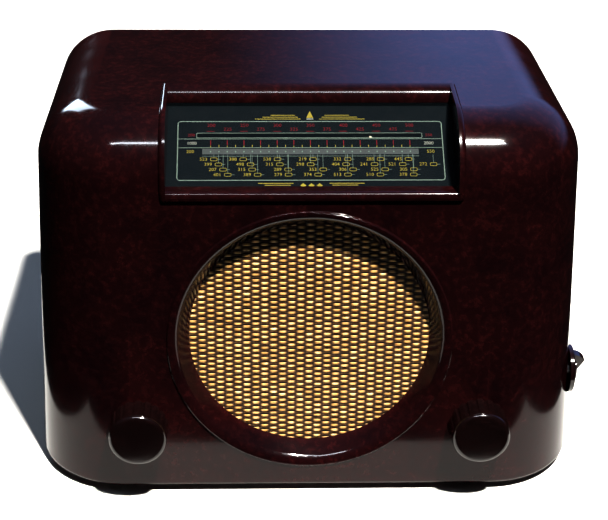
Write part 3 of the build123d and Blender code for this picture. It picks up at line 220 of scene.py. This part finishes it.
def add_surroundings():
    """Studio dome: dark below the horizon and at the left, soft blue at the right behind."""
    world = bpy.data.worlds.new("studio")
    world.use_nodes = True
    bpy.context.scene.world = world
    world.cycles_visibility.diffuse = False
    nodes_, links = world.node_tree.nodes, world.node_tree.links
    background = nodes_["Background"]
    split = nodes_.new("ShaderNodeSeparateXYZ")
    links.new(nodes_.new("ShaderNodeTexCoord").outputs["Generated"], split.inputs[0])
    height = nodes_.new("ShaderNodeValToRGB")
    links.new(split.outputs["Z"], height.inputs[0])
    stops = ((0.0, DOME_LOW), (0.12, DOME_HORIZON), (0.55, DOME_MIDDLE), (1.0, DOME_TOP))
    elements = height.color_ramp.elements
    while len(elements) < len(stops):
        elements.new(0.5)
    for element, (position, colour) in zip(elements, stops):
        element.position = position
        element.color = (*colour, 1)

    def rise(axis, start, end, curve):
        """0 below start and 1 above end along one axis of the dome."""
        made = nodes_.new("ShaderNodeMapRange")
        made.interpolation_type = curve
        links.new(split.outputs[axis], made.inputs["Value"])
        made.inputs["From Min"].default_value = start
        made.inputs["From Max"].default_value = end
        return made.outputs[0]

    def both(first, second):
        """Product of two values."""
        made = nodes_.new("ShaderNodeMath")
        made.operation = "MULTIPLY"
        links.new(first, made.inputs[0])
        links.new(second, made.inputs[1])
        return made.outputs[0]

    right_behind = both(rise("X", -0.03, 0.14, "SMOOTHSTEP"), rise("Y", 0.1, 0.6, "SMOOTHSTEP"))
    masked = both(right_behind, rise("Z", 0.02, 0.15, "LINEAR"))
    mix = nodes_.new("ShaderNodeMix")
    mix.data_type = "RGBA"
    links.new(masked, mix.inputs["Factor"])
    links.new(height.outputs[0], mix.inputs[6])
    mix.inputs[7].default_value = (*DOME_BLUE, 1)
    links.new(mix.outputs[2], background.inputs["Color"])


add_floor()
add_backdrop()
add_surroundings()
add_light("key", KEY_WAY * KEY_DISTANCE + AIM_LOW, AIM_LOW, 0.13, 300, (1.0, 0.965, 0.90))
# the strips show in the gloss only, and the fill lights matt surfaces only
add_light("strip", (-0.05, -0.95, 2.05), AIM_HIGH, 1.5, 34, (0.86, 0.92, 1.0), 0.10, lights_matt=False)
add_light("left_strip", (-0.88, 1.76, 0.92), AIM_HIGH, 0.5, 16, (0.70, 0.84, 1.0), 0.8, lights_matt=False)
add_light("sky_fill", (-0.3, 0.2, 2.6), AIM_LOW, 2.2, 10, (0.75, 0.86, 1.0), lights_gloss=False)
view = bpy.context.scene.view_settings
view.view_transform = "Standard"
view.gamma = 0.74


# ---------------------------------------------------------------- material builders
class Build:
    """Short-hand for wiring one material."""

    def __init__(self, name):
        self.material, self.tree, self.shader = new_material(name)
        self.where = self.node("ShaderNodeTexCoord").outputs["Object"]

    def node(self, kind, **settings):
        made = self.tree.nodes.new(kind)
        for key, value in settings.items():
            setattr(made, key, value)
        return made

    def link(self, a, b):
        self.tree.links.new(a, b)

    def noise(self, scale, detail=4.0, rough=0.55, stretch=None):
        """Fractal noise at scale cells a metre."""
        source = self.where
        if stretch:
            mapping = self.node("ShaderNodeMapping")
            mapping.inputs["Scale"].default_value = stretch
            self.link(self.where, mapping.inputs["Vector"])
            source = mapping.outputs["Vector"]
        texture = self.node("ShaderNodeTexNoise")
        texture.inputs["Scale"].default_value = scale
        texture.inputs["Detail"].default_value = detail
        texture.inputs["Roughness"].default_value = rough
        self.link(source, texture.inputs["Vector"])
        return texture.outputs["Fac"]

    def ramp(self, value, stops):
        """Colour ramp through (position, colour) stops."""
        made = self.node("ShaderNodeValToRGB")
        elements = made.color_ramp.elements
        while len(elements) < len(stops):
            elements.new(0.5)
        for element, (position, colour) in zip(elements, stops):
            element.position = position
            element.color = (*colour, 1) if len(colour) == 3 else colour
        self.link(value, made.inputs["Fac"])
        return made.outputs["Color"]

    def spread(self, value, low, high, start=0.3, end=0.7):
        """Maps value from start..end to low..high."""
        made = self.node("ShaderNodeMapRange")
        made.inputs["From Min"].default_value = start
        made.inputs["From Max"].default_value = end
        made.inputs["To Min"].default_value = low
        made.inputs["To Max"].default_value = high
        self.link(value, made.inputs["Value"])
        return made.outputs["Result"]

    def bump(self, value, height, strength=1.0, before=None):
        """Bump from value, height in metres."""
        made = self.node("ShaderNodeBump")
        made.inputs["Distance"].default_value = height
        made.inputs["Strength"].default_value = strength
        self.link(value, made.inputs["Height"])
        if before:
            self.link(before, made.inputs["Normal"])
        return made.outputs["Normal"]

    def edge_wear(self, low=0.52, high=0.62):
        """1 along convex edges, 0 on flats."""
        geometry = self.node("ShaderNodeNewGeometry")
        return self.spread(geometry.outputs["Pointiness"], 0, 1, low, high)

    def mix(self, factor, a, b):
        """Blend of two colours, sockets or triples."""
        made = self.node("ShaderNodeMix", data_type="RGBA")
        colours = [s for s in made.inputs if s.type == "RGBA"]
        for socket, colour in zip(colours, (a, b)):
            if isinstance(colour, tuple):
                socket.default_value = (*colour, 1)
            else:
                self.link(colour, socket)
        self.link(factor, made.inputs["Factor"])
        return [s for s in made.outputs if s.type == "RGBA"][0]

    def set(self, **values):
        """Sets or links shader sockets by name."""
        for key, value in values.items():
            socket = self.shader.inputs[key.replace("_", " ")]
            if isinstance(value, bpy.types.NodeSocket):
                self.link(value, socket)
            elif isinstance(value, tuple):
                socket.default_value = (*value, 1)
            else:
                socket.default_value = value
        return self


def moulding(name, dark, red, gloss=0.09, mottle=260, shine=0.27):
    """Polished phenolic moulding: near-black burgundy with a faint reddish mottle."""
    b = Build(name)
    coarse = b.noise(mottle * 0.16, 3)
    fine = b.noise(mottle, 6, 0.7)
    cloud = b.ramp(coarse, [(0.35, dark), (0.68, red)])
    speck = b.ramp(fine, [(0.48, dark), (0.66, tuple(c * 1.9 for c in red))])
    colour = b.mix(b.spread(coarse, 0.25, 0.6), cloud, speck)
    worn = b.mix(b.edge_wear(0.54, 0.66), colour, tuple(c * 1.8 for c in red))
    film = b.noise(38, 5, 0.6)
    scratch = b.noise(30, 8, 0.75, (1, 26, 6))
    haze = b.spread(film, gloss, gloss + 0.07)
    normal = b.bump(b.noise(24, 2), 0.00022, 0.05)
    normal = b.bump(scratch, 0.00002, 0.2, normal)
    b.set(Base_Color=worn, Roughness=haze, Normal=normal, IOR=1.5, Specular_IOR_Level=shine,
          Coat_Weight=0.08, Coat_Roughness=0.03)
    return b.material


def metal(name, colour, rough=0.32, brushed=True, bright=1.12):
    """Plated or bare metal with brushing, dulling and fingerprints."""
    b = Build(name)
    dull = b.noise(55, 5, 0.6)
    grain = b.noise(420, 3, 0.5, (1, 18, 1) if brushed else None)
    dulled = tuple(c * 0.72 for c in colour)
    shiny = tuple(min(1, c * bright) for c in colour)
    tone = b.ramp(dull, [(0.3, dulled), (0.7, shiny)])
    edge = b.mix(b.edge_wear(), tone, tuple(min(1, c * 1.35) for c in colour))
    b.set(Base_Color=edge, Metallic=1.0, Roughness=b.spread(dull, rough - 0.08, rough + 0.16),
          Normal=b.bump(grain, 0.00008, 0.25))
    return b.material


def matt(name, colour, rough=0.7, grain_scale=700, height=0.0001, spread=0.35, stretch=None):
    """Painted, papery, rubbery or ceramic surface with grain and patches."""
    b = Build(name)
    patch = b.noise(42, 5, 0.6)
    grain = b.noise(grain_scale, 5, 0.65, stretch)
    dark = tuple(c * (1 - spread) for c in colour)
    light = tuple(min(1, c * (1 + spread)) for c in colour)
    tone = b.ramp(patch, [(0.28, dark), (0.72, light)])
    flecked = b.mix(b.spread(grain, 0, 0.5, 0.45, 0.75), tone, light)
    b.set(Base_Color=flecked, Roughness=b.spread(patch, rough - 0.1, min(1, rough + 0.12)),
          Normal=b.bump(grain, height, 0.5))
    return b.material


def clear(name, tint, alpha, rough=0.04):
    """Thin clear glass with faint smears."""
    b = Build(name)
    smear = b.noise(30, 5, 0.6)
    b.set(Base_Color=b.ramp(smear, [(0.3, tint), (0.7, tuple(min(1, c * 1.15) for c in tint))]),
          Roughness=b.spread(smear, rough, rough + 0.08), Alpha=alpha, IOR=1.5,
          Normal=b.bump(b.noise(60, 3), 0.00005, 0.1))
    b.material.surface_render_method = "BLENDED"
    return b.material


DARK = (0.0072, 0.0016, 0.0022)
RED = (0.0180, 0.0032, 0.0034)
KNOB_DARK = (0.0045, 0.0017, 0.0018)
KNOB_RED = (0.009, 0.0027, 0.0028)
looks = {
    "cabinet_moulding": moulding("cabinet_moulding", DARK, RED),
    "knob_moulding": moulding("knob_moulding", KNOB_DARK, KNOB_RED, 0.10, 420, 0.5),
    "rubber": matt("rubber", (0.03, 0.028, 0.025), 0.8, 900),
    "fibreboard": matt("fibreboard", (0.20, 0.12, 0.065), 0.82, 520, 0.00015, 0.3, (1, 1, 3)),
    "steel_plate": metal("steel_plate", (0.55, 0.53, 0.47), 0.38),
    "steel_bright": metal("steel_bright", (0.68, 0.67, 0.65), 0.25),
    "copper_wire": metal("copper_wire", (0.55, 0.24, 0.11), 0.35),
    "brown_insulation": matt("brown_insulation", (0.16, 0.075, 0.03), 0.45, 600, 0.00008, 0.3),
    "dial_glass": clear("dial_glass", (0.010, 0.016, 0.020), 0.12),
    "dial_print": matt("dial_print", (0.10, 0.11, 0.105), 0.6, 900, 0.00002, 0.12),
    "brass": metal("brass", (0.72, 0.52, 0.22), 0.3),
    "lamp_glass": clear("lamp_glass", (0.9, 0.85, 0.7), 0.55),
    "pointer_paint": matt("pointer_paint", (0.80, 0.74, 0.58), 0.4, 900, 0.00003, 0.1),
    "cord": matt("cord", (0.34, 0.27, 0.17), 0.8, 1500, 0.00012, 0.3, (1, 1, 4)),
    "pulley_plastic": matt("pulley_plastic", (0.06, 0.045, 0.035), 0.4, 700, 0.00005, 0.3),
    "aluminium": metal("aluminium", (0.74, 0.74, 0.73), 0.36),
    "control_metal": metal("control_metal", (0.42, 0.41, 0.38), 0.42, False),
    "valve_glass": clear("valve_glass", (0.62, 0.68, 0.68), 0.3),
    "electrode_grey": matt("electrode_grey", (0.07, 0.07, 0.07), 0.5, 500),
    "transformer_iron": matt("transformer_iron", (0.055, 0.045, 0.04), 0.45, 900, 0.0002, 0.4, (1, 14, 1)),
    "ceramic": matt("ceramic", (0.58, 0.55, 0.47), 0.55, 500, 0.0001, 0.14),
    "speaker_paper": matt("speaker_paper", (0.035, 0.028, 0.022), 0.9, 800, 0.0002, 0.35),
    # near-black: painted shade, also used for the sheet just behind the weave
    "speaker_cloth": matt("speaker_cloth", (0.016, 0.008, 0.003), 0.9, 900, 0.0002, 0.35),
}
for part in frame["record"]["subparts"]:
    mesh = nodes[part["node"]].data
    mesh.materials.clear()
    mesh.materials.append(looks[part["material_slot"]])


def add_piece(name, vertices, faces, material, body="set", smooth=True):
    """A new mesh piece riding on a body."""
    mesh = bpy.data.meshes.new(name)
    mesh.from_pydata(vertices, [], faces)
    mesh.materials.append(material)
    piece = bpy.data.objects.new(name, mesh)
    bpy.context.scene.collection.objects.link(piece)
    if smooth:
        mesh.polygons.foreach_set("use_smooth", [True] * len(mesh.polygons))
    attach(piece, body)
    return piece


# ---------------------------------------------------------------- woven speaker cloth
CLOTH_R = 69.5 * MM
WARP_PITCH = 4.98 * MM
WEFT_PITCH = 1.667 * MM
WEAVE_RISE = 0.24 * MM
WEFT_HALF = 0.78 * MM
WEFT_LOW = 0.42
WARP_SPREAD = 0.42 * MM
WARP_HALF = 0.2 * MM
WARP_THICK = 0.13 * MM
WARP_AT = 0.02 * MM
WEFT_THICK = 0.16 * MM
# a near-black sheet just behind the weave, standing in as painted shade in the gaps between the strands
SHADE_SHEET_AT = -0.32 * MM
SHADE_SHEET_R = 82 * MM
SHADE_SHEET_RINGS = 24
SHADE_SHEET_SPOKES = 96
SHADE_SHEET_RIPPLE = 0.01 * MM
WEFT_WANDER = 0.05 * MM
WEFT_SAG = 0.10 * MM
SAG_WAVES = 90
CROWN_SHAPE = 0.7
STEPS_PER_WARP = 10
SHORTEST_WEFT = 4 * MM
WARP_MARGIN = 2 * MM
WEFT_RING = 8
WARP_RING = 6


def straw():
    """Glossy golden weft, with a painted highlight (cream) where it crowns over a warp and painted shade
    (dark brown) where it dives under one.
    """
    b = Build("cloth_weft")
    crown = b.node("ShaderNodeAttribute", attribute_name="crown").outputs["Fac"]
    run = b.noise(160, 4, 0.6)
    fibre = b.noise(900, 4, 0.6, (1, 8, 8))
    # painted shade: the dark brown ramp for the stretches that dive under a warp; painted highlight: the
    # cream top of the high ramp on the crowns
    low = b.ramp(run, [(0.3, (0.045, 0.016, 0.004)), (0.7, (0.12, 0.045, 0.011))])
    high = b.ramp(run, [(0.3, (0.48, 0.26, 0.07)), (0.5, (0.68, 0.42, 0.15)), (0.72, (0.98, 0.76, 0.40))])
    tone = b.mix(b.spread(crown, 0, 1, 0.62, 0.95), low, high)
    streak = b.mix(b.spread(fibre, 0, 0.2, 0.5, 0.78), tone, (0.80, 0.58, 0.28))
    b.set(Base_Color=streak, Roughness=b.spread(run, 0.34, 0.5), Normal=b.bump(fibre, 0.00012, 0.5),
          Sheen_Weight=0.15, Sheen_Roughness=0.4)
    return b.material


def warp_thread():
    """Brown warp, its colour darkened further as painted shade for the gaps where it shows between the
    wefts.
    """
    b = Build("cloth_warp")
    fibre = b.noise(1200, 4, 0.6, (10, 10, 1))
    b.set(Base_Color=b.ramp(fibre, [(0.3, (0.014, 0.006, 0.002)), (0.7, (0.05, 0.022, 0.007))]),
          Roughness=0.75, Normal=b.bump(fibre, 0.00015, 0.6))
    return b.material


def strand(centres, sizes, across, out, vertices, faces, ring):
    """Adds a flat-oval tube along centres, of (half width, half thickness) sizes, to the mesh lists."""
    start = len(vertices)
    for centre, (half, thick) in zip(centres, sizes):
        for k in range(ring):
            turn = 2 * math.pi * k / ring
            vertices.append(centre + across * (half * math.cos(turn)) + out * (thick * math.sin(turn)))
    for i in range(len(centres) - 1):
        for k in range(ring):
            a, c = start + i * ring + k, start + i * ring + (k + 1) % ring
            faces.append((a, c, c + ring, a + ring))
    faces.append([start + k for k in reversed(range(ring))])
    last = start + (len(centres) - 1) * ring
    faces.append([last + k for k in range(ring)])


def weave():
    """Plain weave of broad wefts over thin dark warps, as real strands."""
    rng = random.Random(11)
    half_count = int(CLOTH_R / WEFT_PITCH)
    vertices, faces, crown_shading = [], [], []
    for n in range(-half_count, half_count + 1):
        height = n * WEFT_PITCH
        reach = math.sqrt(max(0, CLOTH_R ** 2 - height ** 2))
        if reach < SHORTEST_WEFT:
            continue
        steps = max(8, int(2 * reach / (WARP_PITCH / STEPS_PER_WARP)))
        wander = rng.uniform(-1, 1) * WEFT_WANDER
        plump = rng.uniform(0.92, 1.06)
        centres, sizes = [], []
        for i in range(steps + 1):
            x = -reach + 2 * reach * i / steps
            crown = math.cos(math.pi * (x / WARP_PITCH + n))
            lift = math.copysign(abs(crown) ** CROWN_SHAPE, crown) * WEAVE_RISE
            up = 0.5 + 0.5 * crown
            swell = WEFT_LOW + (1 - WEFT_LOW) * min(1, max(0, (up - 0.2) / 0.45))
            sag = WEFT_SAG * math.sin(x * SAG_WAVES + n) + wander
            centres.append(speaker_plane @ Vector((x, height + sag, lift)))
            sizes.append((WEFT_HALF * swell * plump, WEFT_THICK * (0.6 + 0.4 * swell)))
            # the crown value also paints the weft colour: painted highlight on the crowns, painted shade
            # where the weft dives
            crown_shading.extend([up] * WEFT_RING)
        strand(centres, sizes, speaker_up, speaker_out, vertices, faces, WEFT_RING)
    wefts = add_piece("cloth_wefts", vertices, faces, straw())
    layer = wefts.data.attributes.new("crown", "FLOAT", "POINT")
    layer.data.foreach_set("value", crown_shading)
    vertices, faces = [], []
    warp_count = int(CLOTH_R / WARP_PITCH)
    for m in range(-warp_count, warp_count + 1):
        for side in (-1, 0, 1):
            x = (m + 0.5) * WARP_PITCH + side * WARP_SPREAD
            if abs(x) > CLOTH_R - WARP_MARGIN:
                continue
            reach = math.sqrt(CLOTH_R ** 2 - x * x)
            steps = max(8, int(2 * reach / WEFT_PITCH))
            heights = [-reach + 2 * reach * i / steps for i in range(steps + 1)]
            centres = [speaker_plane @ Vector((x, height, WARP_AT)) for height in heights]
            sizes = [(WARP_HALF, WARP_THICK)] * len(centres)
            strand(centres, sizes, Vector((1, 0, 0)), speaker_out, vertices, faces, WARP_RING)
    warps = add_piece("cloth_warps", vertices, faces, warp_thread())
    return wefts, warps


def cloth_backing(strands):
    """Thin disc behind the weave, cut to the baffle, stretched flat; its near-black colour is painted
    shade for the gaps between the strands.
    """
    rng = random.Random(3)
    bm = bmesh.new()
    centre = bm.verts.new(speaker_plane @ Vector((0, 0, SHADE_SHEET_AT)))
    previous = None
    for k in range(1, SHADE_SHEET_RINGS + 1):
        r = SHADE_SHEET_R * k / SHADE_SHEET_RINGS
        row = []
        for i in range(SHADE_SHEET_SPOKES):
            turn = 2 * math.pi * i / SHADE_SHEET_SPOKES
            ripple = rng.uniform(-1, 1) * SHADE_SHEET_RIPPLE
            spot = Vector((r * math.cos(turn), r * math.sin(turn), SHADE_SHEET_AT + ripple))
            row.append(bm.verts.new(speaker_plane @ spot))
        for i in range(SHADE_SHEET_SPOKES):
            j = (i + 1) % SHADE_SHEET_SPOKES
            if previous:
                bm.faces.new((previous[i], row[i], row[j], previous[j]))
            else:
                bm.faces.new((centre, row[i], row[j]))
        previous = row
    mesh = bpy.data.meshes.new("cloth_shade_sheet")
    bm.to_mesh(mesh)
    bm.free()
    mesh.materials.append(looks["speaker_cloth"])
    piece = bpy.data.objects.new("cloth_shade_sheet", mesh)
    bpy.context.scene.collection.objects.link(piece)
    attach(piece, "set")
    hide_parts("speaker_cloth")


cloth_backing(weave())


# ---------------------------------------------------------------- printed dial
def flat_ink(name, colour, rough=0.7):
    """Printing ink with slight unevenness."""
    b = Build(name)
    patch = b.noise(160, 4)
    b.set(Base_Color=b.ramp(patch, [(0.3, tuple(c * 0.82 for c in colour)), (0.7, colour)]),
          Roughness=b.spread(patch, rough, rough + 0.15), Specular_IOR_Level=0.08,
          Normal=b.bump(b.noise(900, 3), 0.00001, 0.3))
    return b.material


class Print:
    """Flat shapes on the dial plane, x across and s up the slope, in millimetres."""

    def __init__(self, name, colour, level):
        self.name = name
        self.material = flat_ink(name, colour)
        self.level = level
        self.vertices = []
        self.faces = []

    def point(self, x, s):
        self.vertices.append(dial_plane @ Vector((x * MM, s * MM, self.level * MM)))
        return len(self.vertices) - 1

    def bar(self, x0, s0, x1, s1):
        """Filled rectangle."""
        self.faces.append([self.point(x0, s0), self.point(x1, s0), self.point(x1, s1), self.point(x0, s1)])

    def polygon(self, points):
        self.faces.append([self.point(x, s) for x, s in points])

    def loop(self, x0, s0, x1, s1, line, corner=0.0, steps=5):
        """Rectangular outline with rounded corners."""
        def outline(grow):
            r = max(corner + grow, 0.0001)
            points = []
            for cx, cs, first in ((x1 - corner, s1 - corner, 0), (x0 + corner, s1 - corner, 90),
                                  (x0 + corner, s0 + corner, 180), (x1 - corner, s0 + corner, 270)):
                for i in range(steps + 1):
                    turn = math.radians(first + 90 * i / steps)
                    points.append((cx + r * math.cos(turn), cs + r * math.sin(turn)))
            return points
        outside = [self.point(*p) for p in outline(line / 2)]
        inside = [self.point(*p) for p in outline(-line / 2)]
        for i in range(len(outside)):
            j = (i + 1) % len(outside)
            self.faces.append([outside[i], outside[j], inside[j], inside[i]])

    def number(self, text, x, s, size):
        """Numerals as filled outlines, centred on x, s."""
        curve = bpy.data.curves.new("numerals", "FONT")
        curve.body = str(text)
        curve.size = size
        curve.align_x = "CENTER"
        curve.align_y = "CENTER"
        curve.resolution_u = 3
        holder = bpy.data.objects.new("numerals", curve)
        bpy.context.scene.collection.objects.link(holder)
        bpy.context.view_layer.update()
        mesh = bpy.data.meshes.new_from_object(holder.evaluated_get(bpy.context.evaluated_depsgraph_get()))
        base = len(self.vertices)
        for v in mesh.vertices:
            self.point(x + v.co.x, s + v.co.y)
        self.faces.extend([[base + i for i in face.vertices] for face in mesh.polygons])
        bpy.data.objects.remove(holder)
        bpy.data.curves.remove(curve)
        bpy.data.meshes.remove(mesh)

    def done(self):
        return add_piece(self.name, self.vertices, self.faces, self.material, smooth=False)


UNDER_GLASS = -2.7
ON_BACK_PLATE = -7.95
pale = Print("dial_print_pale", (0.17, 0.22, 0.19), UNDER_GLASS)
white = Print("dial_print_white", (0.34, 0.35, 0.31), UNDER_GLASS)
red = Print("dial_print_red", (0.16, 0.008, 0.014), UNDER_GLASS)
yellow = Print("dial_print_yellow", (0.30, 0.25, 0.045), UNDER_GLASS)
# painted light: the plate behind the upper window is made pale so that it looks lit, though it lies in
# shade behind the mask
scale_back_painted_light = Print("dial_scale_back", (0.50, 0.53, 0.52), ON_BACK_PLATE)
lower_grey = Print("dial_scale_front", (0.075, 0.085, 0.085), UNDER_GLASS - 0.08)

UPPER_BAR = (-61.6, 32.9, 60.8, 36.0)
LOWER_BAR = (-58.5, 22.2, 58.5, 25.8)


def dial_mask():
    """Opaque blue-black print under the glass, with two clear scale windows."""
    mask = Print("dial_mask", (0.0012, 0.0030, 0.0042), UNDER_GLASS - 0.04)
    low, high, side = -2.5, 56.7, 79.8
    rows = [low, LOWER_BAR[1], LOWER_BAR[3], UPPER_BAR[1], UPPER_BAR[3], high]
    for i in range(5):
        if i in (1, 3):
            window = LOWER_BAR if i == 1 else UPPER_BAR
            mask.bar(-side, rows[i], window[0], rows[i + 1])
            mask.bar(window[2], rows[i], side, rows[i + 1])
        else:
            mask.bar(-side, rows[i], side, rows[i + 1])
    return mask.done()


def draw_dial():
    """Frame, scales, station boxes, stepped ornaments, all numerals generic."""
    rng = random.Random(5)
    pale.loop(-71.8, 5.6, 71.8, 43.6, 0.55, 1.6)
    pale.loop(*UPPER_BAR, 0.35, 0.6)
    pale.bar(-71.8, 32.0, 71.8, 32.35)
    pale.bar(-71.8, 26.3, 71.8, 26.65)
    pale.bar(-58.5, 20.9, 58.5, 21.15)
    scale_back_painted_light.bar(UPPER_BAR[0] - 4, UPPER_BAR[1] - 4, UPPER_BAR[2] + 4, 38.9)
    lower_grey.bar(LOWER_BAR[0] - 1, LOWER_BAR[1] - 1, LOWER_BAR[2] + 1, LOWER_BAR[3] + 1)
    for side in (-1, 1):
        red.number("200" if side < 0 else "550", side * 64.5, 34.6, 2.6)
        white.number("1000" if side < 0 else "2000", side * 64.2, 29.3, 2.7)
        yellow.number("200" if side < 0 else "550", side * 65.0, 23.9, 2.9)
    for i in range(13):
        x = -54 + 9 * i
        red.bar(x - 0.25, 28.2, x + 0.25, 31.4)
        red.number(200 + 25 * i, x + 0.2, 38.4 if i % 2 else 41.0, 3.1)
        if i % 2 == 0:
            red.bar(x - 2.2, 37.0, x + 2.2, 37.35)
    for i in range(25):
        x = -54 + 4.5 * i
        yellow.bar(x - 0.18, 26.8, x + 0.18, 28.3 if i % 2 else 27.8)
        pale.bar(x - 0.3, 23.5, x + 0.3, 24.4)
    for row, s in enumerate((19.0, 15.7, 12.4, 9.1)):
        x = -61 + 2.5 * row
        while x < 60:
            value = rng.randrange(205, 545)
            gap = rng.uniform(14.5, 19.5)
            yellow.number(value, x + 3.2, s, 2.9)
            yellow.loop(x + 7.0, s - 0.95, x + 10.6, s + 0.95, 0.3, 0.6)
            pale.bar(x + 10.9, s - 0.12, x + 12.4, s + 0.12)
            pale.bar(x + 8.7, s + 1.0, x + 8.9, 22.0)
            x += gap
    yellow.polygon([(-1.9, 46.0), (1.9, 46.0), (0.0, 50.6)])
    white.bar(-1.9, 45.0, 1.9, 45.5)
    for side in (-1, 1):
        for k, (near, far) in enumerate(((5.0, 30.0), (6.5, 26.0), (8.0, 21.5))):
            s = 45.0 + 1.25 * k
            yellow.bar(min(side * near, side * far), s, max(side * near, side * far), s + 0.45)
        for k, (near, far) in enumerate(((9.5, 28.5), (11.0, 25.0), (12.5, 21.5))):
            s = 3.4 - 1.15 * k
            yellow.bar(min(side * near, side * far), s, max(side * near, side * far), s + 0.45)
    for k in range(3):
        x = -4.4 + 4.4 * k
        yellow.polygon([(x - 1.7, 2.3), (x, 0.9), (x + 1.7, 2.3), (x, 3.7)])


draw_dial()
for layer in (pale, white, red, yellow, scale_back_painted_light, lower_grey):
    layer.done()
dial_mask()
